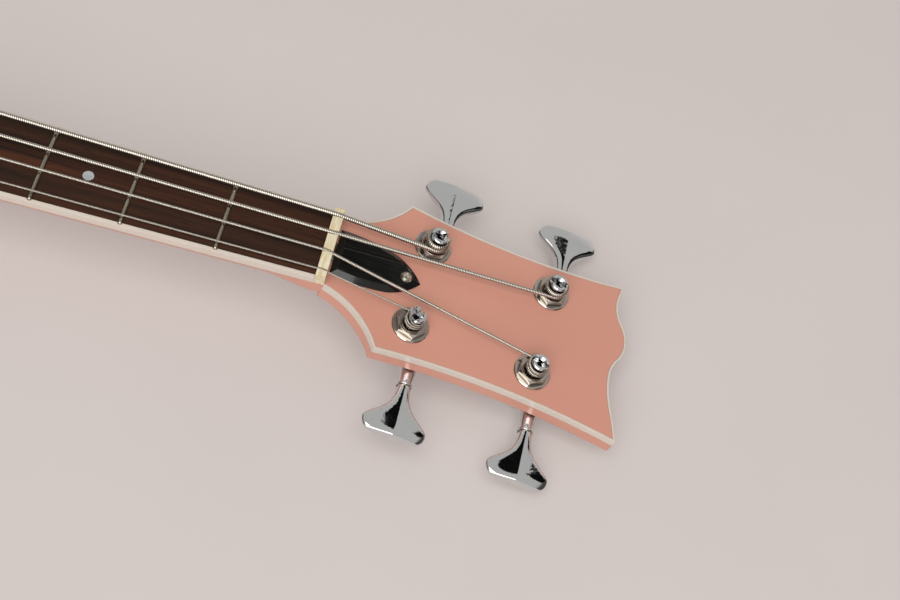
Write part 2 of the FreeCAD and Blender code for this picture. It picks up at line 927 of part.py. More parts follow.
def fret(number):
    """One fret: its section at the centre line, swung about the crown's axis."""
    x = fret_x(number)
    centre = Vector(x, 0, board_top - d.crown_radius)
    axis = Vector(1, 0, 0)
    seat = board_top + d.turn_gap / 2
    half = d.fret_width / 2
    bead = Part.Wire([
        Part.LineSegment(Vector(x - half, 0, seat), Vector(x + half, 0, seat)).toShape(),
        Part.Arc(
            Vector(x + half, 0, seat), Vector(x, 0, seat + d.fret_height), Vector(x - half, 0, seat)
        ).toShape(),
    ])
    low_corner = Vector(x - d.tang_width / 2, 0, board_top - d.tang_depth)
    tang = Part.makePlane(d.tang_width, seat - low_corner.z, low_corner, Vector(0, -1, 0), Vector(1, 0, 0))
    pieces = []
    for face, edge in ((Part.Face(bead), d.fret_inset), (tang, d.binding_width + d.loose_gap)):
        swing = math.degrees(math.asin((half_width(x) - edge) / d.crown_radius))
        face.rotate(centre, axis, -swing)
        pieces.append(face.revolve(centre, axis, 2 * swing))
    return pieces[0].fuse(pieces[1])


node("frets", solid(Part.makeCompound([fret(number) for number in fret_numbers])))


# Strings: the line of each one over saddle and nut, and its winding on its post

def string_facts(letter):
    """A string's radius and the points where it crosses the saddle and breaks over the nut."""
    string = STRINGS[letter]
    radius = getattr(d, f"string_{letter}_diameter") / 2
    nut_y = string.rank * d.nut_spread / 3
    saddle_y = string.rank * d.bridge_pitch
    saddle = Vector(
        -getattr(d, f"setback_{letter}"),
        saddle_y,
        board_top + d.saddle_action - crown_drop(saddle_y) + radius,
    )
    nut = Vector(
        d.scale_length + d.string_break, nut_y, board_top + d.nut_action - crown_drop(nut_y) + radius
    )
    return SimpleNamespace(radius=radius, saddle=saddle, nut=nut)


def to_head(point):
    """A point of the instrument's frame in the headstock face's frame."""
    x, z = point.x - nut_back, point.z - neck_top
    return Vector(x * math.cos(tilt) - z * math.sin(tilt), point.y, x * math.sin(tilt) + z * math.cos(tilt))


def winding(letter):
    """A string's winding in the headstock face's frame: quarter turns, climbing from where it lands."""
    string, facts = STRINGS[letter], string_facts(letter)
    post = Vector(string.s, string.side * d.post_spread, 0)
    ring = d.post_waist_radius + d.loose_gap + facts.radius
    low = d.washer_thickness + d.hex_height + d.loose_gap + facts.radius
    pitch = 2 * facts.radius + d.winding_gap
    nut = to_head(facts.nut)
    reach = Vector(post.x - nut.x, post.y - nut.y, 0)
    heading = math.atan2(reach.y, reach.x) - string.side * math.asin(ring / reach.Length)
    first_angle = heading - string.side * math.pi / 2

    def landing(turn):
        angle = first_angle + string.side * 2 * math.pi * turn
        point = post + Vector(ring * math.cos(angle), ring * math.sin(angle), low + pitch * turn)
        along = Vector(
            -string.side * math.sin(angle), string.side * math.cos(angle), pitch / (2 * math.pi * ring)
        )
        return point, along.normalize()

    start = landing(0)[0]
    points = [(start, (start - nut).normalize())]
    quarters = int(round(4 * string.turns))
    points += [landing(quarter / 4) for quarter in range(1, quarters + 1)]
    return points


def bend(before, corner, after, tangent):
    """A round bend in place of a corner: where it starts, its middle and where it ends."""
    towards = (before - corner).normalize()
    away = (after - corner).normalize()
    start, end = corner + towards * tangent, corner + away * tangent
    half_turn = (math.pi - towards.getAngle(away)) / 2
    inward = (towards + away).normalize()
    radius = tangent / math.tan(half_turn)
    middle = corner + inward * (radius / math.cos(half_turn) - radius)
    return start, middle, end


def string_path(letter):
    """A string's edges from its ball end, over saddle and nut, round its post to its cut end."""
    facts = string_facts(letter)
    along = (facts.nut - facts.saddle).normalize()
    tail = Vector(-d.bridge_rear, facts.saddle.y, d.body_thickness + d.tail_height)
    behind = facts.saddle - along * d.saddle_run
    turns = [(head_point(*point), head_axes(heading)) for point, heading in winding(letter)]
    landing = turns[0][0]
    edges = []
    start = tail
    for corner, before, after, tangent in (
        (behind, tail, facts.nut, d.tail_bend),
        (facts.nut, behind, landing, d.string_bend),
    ):
        first, middle, last = bend(before, corner, after, tangent)
        edges.append(Part.LineSegment(start, first).toShape())
        edges.append(Part.Arc(first, middle, last).toShape())
        start = last
    edges.append(Part.LineSegment(start, landing).toShape())
    for (point, heading), (next_point, next_heading) in zip(turns, turns[1:]):
        edges += biarc(point, heading, next_point, next_heading)
    end, heading = turns[-1]
    edges.append(Part.LineSegment(end, end + heading * 2 * facts.radius).toShape())
    return edges


for letter in STRINGS:
    edges = string_path(letter)
    path = Part.Wire(edges)
    radius = string_facts(letter).radius
    start = edges[0].valueAt(edges[0].FirstParameter)
    heading = edges[0].tangentAt(edges[0].FirstParameter)
    ring = Part.Wire(Part.makeCircle(radius, start, heading))
    tube = path.makePipeShell([ring], True, False)
    node(f"string_{letter}", solid(tube))

ball_ends = [
    cylinder(
        "ball_radius",
        "ball_length",
        "0 - bridge_rear - ball_radius - turn_gap",
        f"{string.rank} * bridge_pitch - ball_length / 2",
        "body_thickness + tail_height",
        "Y",
    )
    for string in STRINGS.values()
]
node("ball_ends", group(ball_ends))

# Nut: a bone block across the neck, crowned like the board, with a slot for each string


def nut_slot(letter):
    """A round-bottomed slot that follows a string in and out of the nut."""
    facts = string_facts(letter)
    landing = head_point(*winding(letter)[0][0])
    radius = facts.radius + d.fit_gap
    reach = 3 * d.nut_thickness
    tools = []
    for end in (facts.saddle, landing):
        along = (end - facts.nut).normalize()
        start = facts.nut - along * d.string_bend
        bar = Part.makeCylinder(radius, reach, start, along)
        across = along.cross(UP).normalize()
        wall = Part.Wire(Part.makePolygon([
            start - across * radius,
            start + across * radius,
            start + across * radius + UP * reach,
            start - across * radius + UP * reach,
            start - across * radius,
        ]))
        tools += [bar, Part.Face(wall).extrude(along * reach)]
    return tools[0].fuse(tools[1:])


nut_block = common(
    box(
        "scale_length",
        "0 - nut_width / 2 + nut_end_inset",
        NECK_TOP,
        "nut_thickness",
        "nut_width - 2 * nut_end_inset",
        "2 * board_thickness",
    ),
    cylinder("crown_radius", "2 * scale_length", "0", "0", f"{BOARD_TOP} + nut_rise - crown_radius", "X"),
)
node("nut", cut(nut_block, *[solid(nut_slot(letter)) for letter in STRINGS]))

# Truss rod, its adjusting nut and the bevelled cover over it
rod = fuse(
    cylinder(
        "rod_radius",
        f"{NUT_BACK} + rod_nut_start - turn_gap - ({BOARD_END} + rod_start)",
        f"{BOARD_END} + rod_start",
        "0",
        ROD_HEIGHT,
        "X",
    ),
    cylinder(
        "rod_thread_radius", "rod_nut_start + rod_nut_length + rod_tail", NUT_BACK, "0", ROD_HEIGHT, "X"
    ),
)
node("truss_rod", rod)
rod_nut = cut(
    hexagon("rod_nut_flats", "rod_nut_length", f"{NUT_BACK} + rod_nut_start", "0", ROD_HEIGHT, "X"),
    cylinder(
        "rod_thread_radius + turn_gap", "2 * rod_nut_length", NUT_BACK, "0", ROD_HEIGHT, "X"
    ),
)
node("truss_rod_nut", rod_nut)


def cover_wire(inset, height):
    """The cover's outline: straight at the nut, long sides that bulge a little, and a pointed nose."""
    start, tip = Vector(d.cover_start, d.cover_half, 0), Vector(d.cover_tip_s, 0, 0)
    shoulder = Vector(d.cover_shoulder_s, d.cover_shoulder_half, 0)
    side = (start + shoulder) / 2 + Vector(0, d.cover_side_bulge, 0)
    nose_way = (tip - shoulder).normalize()
    nose = (shoulder + tip) / 2 + Vector(-nose_way.y, nose_way.x, 0) * d.cover_nose_bulge

    def over(point):
        return Vector(point.x, -point.y, 0)

    edges = [
        Part.Arc(start, side, shoulder).toShape(),
        Part.Arc(shoulder, nose, tip).toShape(),
        Part.Arc(tip, over(nose), over(shoulder)).toShape(),
        Part.Arc(over(shoulder), over(side), over(start)).toShape(),
        Part.LineSegment(over(start), start).toShape(),
    ]
    wire = Part.Wire(edges)
    if inset:
        wire = wire.makeOffset2D(-inset)
    wire.translate(Vector(0, 0, height))
    return wire


cover_shape = plate(cover_wire(0, 0), 0, d.cover_edge).fuse(
    Part.makeLoft([cover_wire(0, d.cover_edge), cover_wire(d.cover_bevel, d.cover_thickness)], True, True)
)
cover_hole = cylinder(
    "small_screw_radius + fit_gap", "2 * cover_thickness", "cover_screw_s", "0", "0 - cover_thickness / 2"
)
node("truss_rod_cover", on_head(cut(solid(cover_shape.removeSplitter()), cover_hole)))
cover_screw = screw(
    d.cover_screw_head,
    d.small_screw_rise,
    d.small_screw_radius,
    d.small_screw_length,
    Vector(d.cover_screw_s, 0, d.cover_thickness),
    DOWN,
)
node("truss_cover_screw", on_head(solid(cover_screw)))

# Machine heads, made in the headstock face's frame
WHEEL_TEETH = 20
THREAD_STEPS = 4
CREST_START_SHARE, CREST_END_SHARE = 0.4, 0.6
washers, bushings, housings, tuner_screws = [], [], [], []
for letter, string in STRINGS.items():
    s, v = string.post, f"{string.side} * post_spread"
    out = "Y" if string.side > 0 else "-Y"
    worm_s = f"{s} + worm_offset"

    washer = turned([
        ("sleeve_radius + fit_gap", "0"),
        ("washer_radius", "0"),
        ("washer_radius", "washer_thickness - washer_bevel"),
        ("washer_radius - washer_bevel", "washer_thickness"),
        ("sleeve_radius + fit_gap", "washer_thickness"),
    ])
    washers.append(at(washer, s, v, "0"))
    six_sides = hexagon("hex_flats", "hex_height", s, v, "washer_thickness")
    six_sides.Placement.Rotation = Rotation(UP, string.hexagon)
    hexagon_head = common(
        six_sides,
        cone("hex_flats / sqrt(3) + hex_height / 3", "hex_flats / 2", "hex_height", s, v, "washer_thickness"),
    )
    sleeve = cylinder("sleeve_radius", "sleeve_length + washer_thickness", s, v, "0 - sleeve_length")
    bushings.append(cut(
        fuse(hexagon_head, sleeve),
        cylinder("post_radius + turn_gap", "4 * head_thickness", s, v, "0 - 2 * head_thickness"),
    ))

    shell = fuse(
        cylinder("drum_radius", "drum_height", s, v, DRUM_BOTTOM),
        box(
            f"{s} - flange_half_along",
            f"{v} - flange_half_across",
            "0 - head_thickness - flange_thickness",
            "2 * flange_half_along",
            "2 * flange_half_across",
            "flange_thickness",
        ),
        cylinder(
            "barrel_radius",
            "barrel_back + barrel_front",
            worm_s,
            f"{string.side} * (post_spread - barrel_back)",
            WORM_HEIGHT,
            out,
        ),
        cone(
            "snout_root_radius",
            "snout_tip_radius",
            "collar_start - loose_gap - post_spread - barrel_front",
            worm_s,
            f"{string.side} * (post_spread + barrel_front)",
            WORM_HEIGHT,
            out,
        ),
    )
    worm_room = cylinder(
        "worm_radius + loose_gap",
        "2 * (worm_half + loose_gap)",
        worm_s,
        f"{string.side} * (post_spread - worm_half - loose_gap)",
        WORM_HEIGHT,
        out,
    )
    shaft_bore = cylinder(
        "worm_shaft_radius + turn_gap",
        "collar_start",
        worm_s,
        f"{string.side} * post_spread",
        WORM_HEIGHT,
        out,
    )
    tail_bore = cylinder(
        "worm_tail_radius + turn_gap",
        "worm_half + worm_tail_length + loose_gap",
        worm_s,
        f"{string.side} * (post_spread - worm_half - worm_tail_length - loose_gap)",
        WORM_HEIGHT,
        out,
    )
    wheel_room = cylinder(
        "wheel_radius + 2 * loose_gap", "drum_height", s, v, f"{DRUM_BOTTOM} + drum_floor"
    )
    pivot_bore = cylinder(
        "post_pivot_radius + turn_gap", "drum_height", s, v, f"{DRUM_BOTTOM} + drum_floor / 4"
    )
    screw_holes = [
        cylinder(
            "small_screw_radius + fit_gap",
            "3 * flange_thickness",
            f"{s} - tuner_screw_along",
            f"{v} + {way} * tuner_screw_across",
            "0 - head_thickness - 2 * flange_thickness",
        )
        for way in (-1, 1)
    ]
    housings.append(cut(shell, worm_room, shaft_bore, tail_bore, wheel_room, pivot_bore, *screw_holes))
    tuner_screws += [
        screw(
            d.small_screw_head - d.loose_gap,
            d.small_screw_rise,
            d.small_screw_radius,
            d.small_screw_length,
            Vector(
                string.s - d.tuner_screw_along,
                string.side * d.post_spread + way * d.tuner_screw_across,
                -d.head_thickness - d.flange_thickness,
            ),
            UP,
        )
        for way in (-1, 1)
    ]

    wheel_low = f"({WORM_HEIGHT} - wheel_thickness / 2)"
    post = turned([
        ("0", f"{DRUM_BOTTOM} + drum_floor / 2"),
        ("post_pivot_radius", f"{DRUM_BOTTOM} + drum_floor / 2"),
        ("post_pivot_radius", f"{DRUM_BOTTOM} + drum_floor + turn_gap"),
        ("post_core_radius", f"{DRUM_BOTTOM} + drum_floor + turn_gap"),
        ("post_core_radius", f"{wheel_low} + wheel_thickness"),
        ("post_radius", f"{wheel_low} + wheel_thickness"),
        ("post_radius", HEX_TOP),
        ("post_waist_radius", HEX_TOP),
        ("post_waist_radius", "post_waist_top"),
        ("post_cap_radius", "post_waist_top + post_cap_height"),
        ("post_cap_radius", "post_top - post_cap_height / 2"),
        ("post_cap_radius - post_cap_height / 2", "post_top"),
        ("0", "post_top"),
    ])
    at(post, s, v, "0")
    slot = padded(
        "XZ_Plane",
        [
            ("0 - 2 * post_radius", "post_top - post_slot_depth"),
            ("2 * post_radius", "post_top - post_slot_depth"),
            ("2 * post_radius", "post_top + post_slot_depth"),
            ("0 - 2 * post_radius", "post_top + post_slot_depth"),
        ],
        "post_slot_width",
    )
    slot.Placement = Placement(Vector(), Rotation(UP, string.slot))
    at(slot, s, v, "0")
    end_bore = cylinder("post_bore_radius", "2 * post_bore_depth", s, v, "post_top - post_bore_depth")
    mouth = cone(
        "post_bore_radius",
        "2 * post_mouth_radius - post_bore_radius",
        "2 * post_mouth_depth",
        s,
        v,
        "post_top - post_mouth_depth",
    )
    wheel = cylinder("wheel_radius", "wheel_thickness", s, v, wheel_low)
    wheel_bore = cylinder(
        "post_core_radius + turn_gap", "2 * wheel_thickness", s, v, f"{wheel_low} - wheel_thickness / 2"
    )
    tooth_gaps = [
        cylinder(
            "wheel_tooth",
            "2 * wheel_thickness",
            f"{s} + wheel_radius * cos({360 * tooth / WHEEL_TEETH})",
            f"{v} + wheel_radius * sin({360 * tooth / WHEEL_TEETH})",
            f"{wheel_low} - wheel_thickness / 2",
        )
        for tooth in range(WHEEL_TEETH)
    ]
    node(
        f"string_post_{letter}",
        on_head(group([cut(post, slot, end_bore, mouth), cut(wheel, wheel_bore, *tooth_gaps)])),
    )

    # The worm shaft is turned in one piece with its thread and collar
    thread_pitch = f"(2 * worm_half / {THREAD_STEPS})"
    profile = [
        ("0", "0 - worm_half - worm_tail_length"),
        ("worm_tail_radius", "0 - worm_half - worm_tail_length"),
        ("worm_tail_radius", "0 - worm_half"),
    ]
    for step in range(THREAD_STEPS):
        foot = f"0 - worm_half + {step} * {thread_pitch}"
        profile += [
            ("worm_radius - worm_thread_depth", foot if step else "0 - worm_half"),
            ("worm_radius", f"{foot} + {thread_pitch} * {CREST_START_SHARE}"),
            ("worm_radius", f"{foot} + {thread_pitch} * {CREST_END_SHARE}"),
        ]
    profile += [
        ("worm_radius - worm_thread_depth", "worm_half"),
        ("worm_shaft_radius", "worm_half + loose_gap"),
        ("worm_shaft_radius", "collar_start - post_spread"),
        ("collar_radius", "collar_start - post_spread"),
        ("collar_radius", "collar_start + collar_thickness - post_spread"),
        ("key_tang_radius", "collar_start + collar_thickness - post_spread"),
        ("key_tang_radius", "collar_start + collar_thickness + key_tang - post_spread"),
        ("0", "collar_start + collar_thickness + key_tang - post_spread"),
    ]
    shaft = turned(profile)
    shaft.Placement = Placement(Vector(), TURNS[out])
    at(shaft, worm_s, v, WORM_HEIGHT)
    node(f"worm_shaft_{letter}", on_head(group([shaft])))

node("tuner_washers", on_head(group(washers)))
node("tuner_bushings", on_head(group(bushings)))
node("tuner_housings", on_head(group(housings)))
node("tuner_screws", on_head(solid(Part.makeCompound(tuner_screws))))


# Keys: a round stem that widens into two wings with a ridge along the middle of each face

FLARE_END_SHARE, FLARE_POWER, FLARE_EVEN_SHARE = 0.78, 2.1, 0.22
RIM_SHARE, END_LOSS_SHARE = 0.6, 0.4
face_slope = (d.key_ridge - d.key_edge) / (d.key_wing_half - RIM_SHARE * d.key_edge)


def key_section(share):
    """One cross-section of a key, across its wings and through its thickness, at a share of its length."""
    flare = min(share / FLARE_END_SHARE, 1)
    swell = math.sin(flare ** FLARE_POWER * math.pi / 2) ** 2
    spread = FLARE_EVEN_SHARE * flare + (1 - FLARE_EVEN_SHARE) * swell
    half = d.key_stem_half + (d.key_wing_half - d.key_stem_half) * spread
    rounding = max((share - FLARE_END_SHARE) / (1 - FLARE_END_SHARE), 0)
    half -= d.key_corner * (1 - math.sqrt(1 - rounding ** 2))
    ridge = d.key_ridge - (d.key_ridge - d.key_edge) * END_LOSS_SHARE * rounding ** 2
    edge = (ridge - face_slope * half) / (1 - RIM_SHARE * face_slope)
    inner = half - edge * RIM_SHARE
    length = share * d.key_length
    right, left = Vector(half, length, 0), Vector(-half, length, 0)
    top, bottom = Vector(0, length, ridge), Vector(0, length, -ridge)

    def rim(sign, up):
        return Vector(sign * inner, length, up * edge)

    return Part.Wire([
        Part.LineSegment(top, rim(1, 1)).toShape(),
        Part.Arc(rim(1, 1), right, rim(1, -1)).toShape(),
        Part.LineSegment(rim(1, -1), bottom).toShape(),
        Part.LineSegment(bottom, rim(-1, -1)).toShape(),
        Part.Arc(rim(-1, -1), left, rim(-1, 1)).toShape(),
        Part.LineSegment(rim(-1, 1), top).toShape(),
    ])


KEY_STEPS = 7
key_shares = [FLARE_END_SHARE * step / KEY_STEPS for step in range(KEY_STEPS)]
key_shares += [
    FLARE_END_SHARE + (1 - FLARE_END_SHARE) * math.sin(math.pi / 2 * step / KEY_STEPS)
    for step in range(KEY_STEPS + 1)
]
key_blank = Part.makeLoft([key_section(share) for share in key_shares], True, True)
key_bore = Part.makeCylinder(
    d.key_tang_radius + d.turn_gap, d.key_tang + d.fit_gap, Vector(), Vector(0, 1, 0)
)
key_shape = key_blank.cut(key_bore)
key_foot = d.collar_start + d.collar_thickness + d.turn_gap
for letter, string in STRINGS.items():
    shape = key_shape.copy()
    if string.side < 0:
        shape.rotate(Vector(), UP, 180)
    shape.translate(Vector(
        string.s + d.worm_offset, string.side * key_foot, -d.head_thickness - d.worm_depth
    ))
    node(f"tuner_key_{letter}", on_head(solid(shape)))

# Bridge: a bent plate whose rear wall holds the ball ends and the intonation screws
bridge_blank = padded(
    "XZ_Plane",
    [
        ("0 - bridge_rear", "body_thickness"),
        ("bridge_front", "body_thickness"),
        ("bridge_front", BRIDGE_TOP),
        ("bridge_wall - bridge_rear", BRIDGE_TOP),
        ("bridge_wall - bridge_rear", "body_thickness + bridge_wall_height + bridge_plate"),
        ("0 - bridge_rear", "body_thickness + bridge_wall_height + bridge_plate"),
    ],
    "2 * bridge_half",
)
bridge_holes = []
for letter, string in STRINGS.items():
    y = f"{string.rank} * bridge_pitch"
    bridge_holes.append(cylinder(
        f"string_{letter}_diameter / 2 + tail_hole_gap",
        "3 * bridge_wall",
        "0 - bridge_rear - bridge_wall",
        y,
        "body_thickness + tail_height",
        "X",
    ))
    bridge_holes.append(cylinder(
        "intonation_radius + fit_gap",
        "3 * bridge_wall",
        "0 - bridge_rear - bridge_wall",
        y,
        "body_thickness + intonation_height",
        "X",
    ))
BRIDGE_SCREWS = range(-2, 3)
bridge_screw_holes = [
    cylinder(
        "bridge_screw_radius + fit_gap",
        "3 * bridge_plate",
        "bridge_screw_x",
        f"{i} * bridge_screw_pitch",
        "body_thickness - bridge_plate",
    )
    for i in BRIDGE_SCREWS
]
node("bridge_plate", cut(bridge_blank, *bridge_holes, *bridge_screw_holes))
bridge_screws = [
    screw(
        d.bridge_screw_head,
        d.bridge_screw_rise,
        d.bridge_screw_radius,
        d.bridge_screw_length,
        Vector(d.bridge_screw_x, i * d.bridge_screw_pitch, bridge_top),
        DOWN,
    )
    for i in BRIDGE_SCREWS
]
node("bridge_screws", solid(Part.makeCompound(bridge_screws)))

# Saddles: each rides on two height screws and is drawn along by its intonation screw
intonation_screws = []
for letter, string in STRINGS.items():
    facts = string_facts(letter)
    y = f"({string.rank} * bridge_pitch)"
    x = f"(0 - setback_{letter})"
    string_foot = f"({crown_height(y)} + saddle_action)"
    string_axis = f"({string_foot} + string_{letter}_diameter / 2)"
    ridge = f"({string_foot} + saddle_land)"
    eaves = f"({ridge} - saddle_roof)"
    foot = f"({BRIDGE_TOP} + saddle_lift)"
    blank = padded(
        "XZ_Plane",
        [
            (f"{x} - saddle_half_length", foot),
            (f"{x} + saddle_half_length", foot),
            (f"{x} + saddle_half_length", eaves),
            (f"{x} + saddle_ridge", ridge),
            (f"{x} - saddle_ridge", ridge),
            (f"{x} - saddle_half_length", eaves),
        ],
        "2 * saddle_half_width",
    )
    at(blank, "0", y, "0")
    groove = cylinder(
        f"string_{letter}_diameter / 2 + loose_gap / 2",
        "4 * saddle_half_length",
        f"{x} - 2 * saddle_half_length",
        y,
        string_axis,
        "X",
    )
    groove_walls = box(
        f"{x} - 2 * saddle_half_length",
        f"{y} - string_{letter}_diameter / 2 - loose_gap / 2",
        string_axis,
        "4 * saddle_half_length",
        f"string_{letter}_diameter + loose_gap",
        "2 * saddle_roof",
    )
    screw_bore = cylinder(
        "intonation_radius + turn_gap",
        "4 * saddle_half_length",
        f"{x} - 2 * saddle_half_length",
        y,
        "body_thickness + intonation_height",
        "X",
    )
    grub_holes = [
        cylinder(
            "grub_radius + turn_gap",
            "4 * saddle_half_length",
            x,
            f"{y} + {way} * grub_offset",
            BRIDGE_TOP,
        )
        for way in (-1, 1)
    ]
    grubs = [
        cylinder(
            "grub_radius",
            f"{ridge} - grub_recess / 2 - {BRIDGE_TOP} - fit_gap",
            x,
            f"{y} + {way} * grub_offset",
            f"{BRIDGE_TOP} + fit_gap",
        )
        for way in (-1, 1)
    ]
    node(
        f"saddle_{letter}",
        group([cut(blank, groove, groove_walls, screw_bore, *grub_holes), *grubs]),
    )
    intonation_screws.append(screw(
        d.intonation_head,
        d.intonation_rise,
        d.intonation_radius,
        d.bridge_rear - getattr(d, f"setback_{letter}") + d.saddle_half_length - d.loose_gap,
        Vector(-d.bridge_rear, facts.saddle.y, d.body_thickness + d.intonation_height),
        Vector(1, 0, 0),
    ))
node("intonation_screws", solid(Part.makeCompound(intonation_screws)))

# Body: a double-cutaway slab with rounded back edges and a binding round the front

def body_points():
    """The outline's points, from the tail round the bass side to the neck and back along the treble side."""
    lower = ["corner", "rear", "bout", "hip", "waist"]
    upper = ["shoulder", "horn", "tip", "inner"]

    def along(side, sign):
        points = [
            Vector(getattr(d, f"{name}_x"), sign * getattr(d, f"{name}_half"), 0)
            for name in [*lower, f"{side}_chest"]
        ]
        return points + [
            Vector(board_end + getattr(d, f"{name}_reach"), sign * getattr(d, f"{name}_half"), 0)
            for name in [*[f"{side}_{name}" for name in upper], "cutaway", "throat"]
        ]

    return [Vector(d.tail_x, 0, 0), *along("bass", 1), *reversed(along("treble", -1))]


def headings(points):
    """The direction of a closed outline at each of its points, along the line between the two neighbours."""
    count = len(points)
    return [(points[(i + 1) % count] - points[i - 1]).normalize() for i in range(count)]


def body_wire(inset):
    points = body_points()
    ways = headings(points)
    edges = []
    for i, point in enumerate(points):
        after = (i + 1) % len(points)
        edges += biarc(point, ways[i], points[after], ways[after])
    wire = Part.Wire(edges)
    return wire.makeOffset2D(-inset) if inset else wire


slab = plate(body_wire(0), 0, d.body_thickness)
slab_back = [edge for edge in slab.Edges if edge.BoundBox.ZMax < SLACK]
slab = slab.makeFillet(d.body_edge_round, slab_back)
binding_low = d.body_thickness - d.body_binding_height
body_rebate = plate(body_wire(0), binding_low, 2 * d.body_binding_height).cut(
    plate(body_wire(d.body_binding_width + d.fit_gap), binding_low, 2 * d.body_binding_height)
)
body_ring = plate(body_wire(0), binding_low, d.body_binding_height).cut(
    plate(body_wire(d.body_binding_width), binding_low, d.body_binding_height)
)

# The neck pocket follows the heel's taper and opens at the throat
pocket_end = board_end + d.throat_reach + d.heel_blend
pocket_start = heel_start - d.fit_gap
pocket_corners = [
    Vector(pocket_start, -half_width(pocket_start) - d.fit_gap, 0),
    Vector(pocket_end, -half_width(pocket_end) - d.fit_gap, 0),
    Vector(pocket_end, half_width(pocket_end) + d.fit_gap, 0),
    Vector(pocket_start, half_width(pocket_start) + d.fit_gap, 0),
]
pocket_floor = neck_top - d.heel_depth
pocket = plate(
    Part.makePolygon([*pocket_corners, pocket_corners[0]]), pocket_floor, d.body_thickness
)
# Where the bindings meet the pocket they stop short of the neck
ring_solid = solid(body_ring.cut(pocket))

controls = [
    Vector(d.control_x - i * d.control_step, -d.control_y - i * d.control_drop, 0) for i in range(4)
]
cover_low = d.plate_sink
cavity_floor = d.plate_sink + d.cover_plate
control_cavity = stadium(controls[0], controls[3], d.cavity_radius, 0, d.body_thickness - d.cavity_roof)
cover_recess = stadium(
    controls[0],
    controls[3],
    d.cavity_radius + d.cavity_lip + d.fit_gap,
    -d.cover_plate,
    cavity_floor + d.cover_plate,
)
line = (controls[3] - controls[0]).normalize()
beside = Vector(-line.y, line.x, 0)
lip = d.cavity_radius + d.cavity_lip / 2
cover_screw_places = [
    controls[0] - line * lip,
    controls[3] + line * lip,
    controls[1] + beside * lip,
    controls[1] - beside * lip,
    controls[2] + beside * lip,
    controls[2] - beside * lip,
]


def drill(place, radius, length, along):
    return Part.makeCylinder(radius, length, place, along)


cover_screw_holes = [
    drill(place, d.small_screw_radius + d.turn_gap, cavity_floor + d.small_screw_length, UP)
    for place in cover_screw_places
]
points, ways = body_points(), headings(body_points())
horn_index = points.index(Vector(board_end + d.bass_tip_reach, d.bass_tip_half, 0))
middle = Vector(0, 0, d.body_thickness / 2)
button_seats = [
    (points[0] + middle, Vector(-1, 0, 0)),
    (points[horn_index] + middle, Vector(ways[horn_index].y, -ways[horn_index].x, 0)),
]
button_seats = [
    (place, way if way.dot(place - Vector(d.waist_x, 0, 0)) > 0 else way * -1) for place, way in button_seats
]
button_bury = d.button_screw_length - d.button_height
button_holes = [
    drill(place, d.button_screw_radius + d.turn_gap, button_bury + d.fit_gap, way * -1)
    for place, way in button_seats
]
body_tools = solid(
    control_cavity.fuse([cover_recess, pocket, body_rebate, *cover_screw_holes, *button_holes])
)
plate_recess = box(
    f"{plate_x} - plate_length / 2 - fit_gap",
    "0 - plate_width / 2 - fit_gap",
    "0 - plate_thickness",
    "plate_length + 2 * fit_gap",
    "plate_width + 2 * fit_gap",
    "2 * plate_thickness + plate_sink",
)
neck_screw_holes = [
    cylinder("neck_screw_radius + fit_gap", "body_thickness", x, y, "0") for x, y in plate_screw_places
]
PICKUPS = {"neck": "neck_pickup_x", "bridge": "bridge_pickup_x"}
pickup_rooms = [
    box(
        f"{x} - pickup_half_length - fit_gap",
        "0 - pickup_half_width - fit_gap",
        PICKUP_FLOOR,
        "2 * (pickup_half_length + fit_gap)",
        "2 * (pickup_half_width + fit_gap)",
        "2 * pickup_sink",
    )
    for x in PICKUPS.values()
]
pickup_screw_holes = [
    cylinder(
        "small_screw_radius + turn_gap",
        "body_thickness / 2",
        x,
        f"{way} * {PICKUP_SCREW_Y}",
        f"{PICKUP_FLOOR} - small_screw_length",
    )
    for x in PICKUPS.values()
    for way in (-1, 1)
]
control_places = [
    (f"(control_x - {i} * control_step)", f"(0 - control_y - {i} * control_drop)") for i in range(4)
]
bush_holes = [
    cylinder(
        "jack_bush_radius + fit_gap" if i == 3 else "pot_bush_radius + fit_gap",
        "body_thickness",
        x,
        y,
        "body_thickness / 2",
    )
    for i, (x, y) in enumerate(control_places)
]
bridge_body_holes = [
    cylinder(
        "bridge_screw_radius + turn_gap",
        "bridge_screw_length + fit_gap",
        "bridge_screw_x",
        f"{i} * bridge_screw_pitch",
        f"{BRIDGE_TOP} - bridge_screw_length - fit_gap",
    )
    for i in BRIDGE_SCREWS
]
cross_channel = cylinder(
    "wire_channel",
    "control_y - pickup_half_width",
    "bridge_pickup_x + lead_offset",
    "0 - pickup_half_width",
    "wire_height",
    "-Y",
)
long_channel = cylinder(
    "wire_channel",
    "neck_pickup_x - bridge_pickup_x",
    "bridge_pickup_x",
    "0 - wire_track",
    "wire_height",
    "X",
)
node(
    "body",
    cut(
        solid(slab),
        body_tools,
        plate_recess,
        cross_channel,
        long_channel,
        *neck_screw_holes,
        *pickup_rooms,
        *pickup_screw_holes,
        *bush_holes,
        *bridge_body_holes,
    ),
)
node("body_binding", ring_solid)

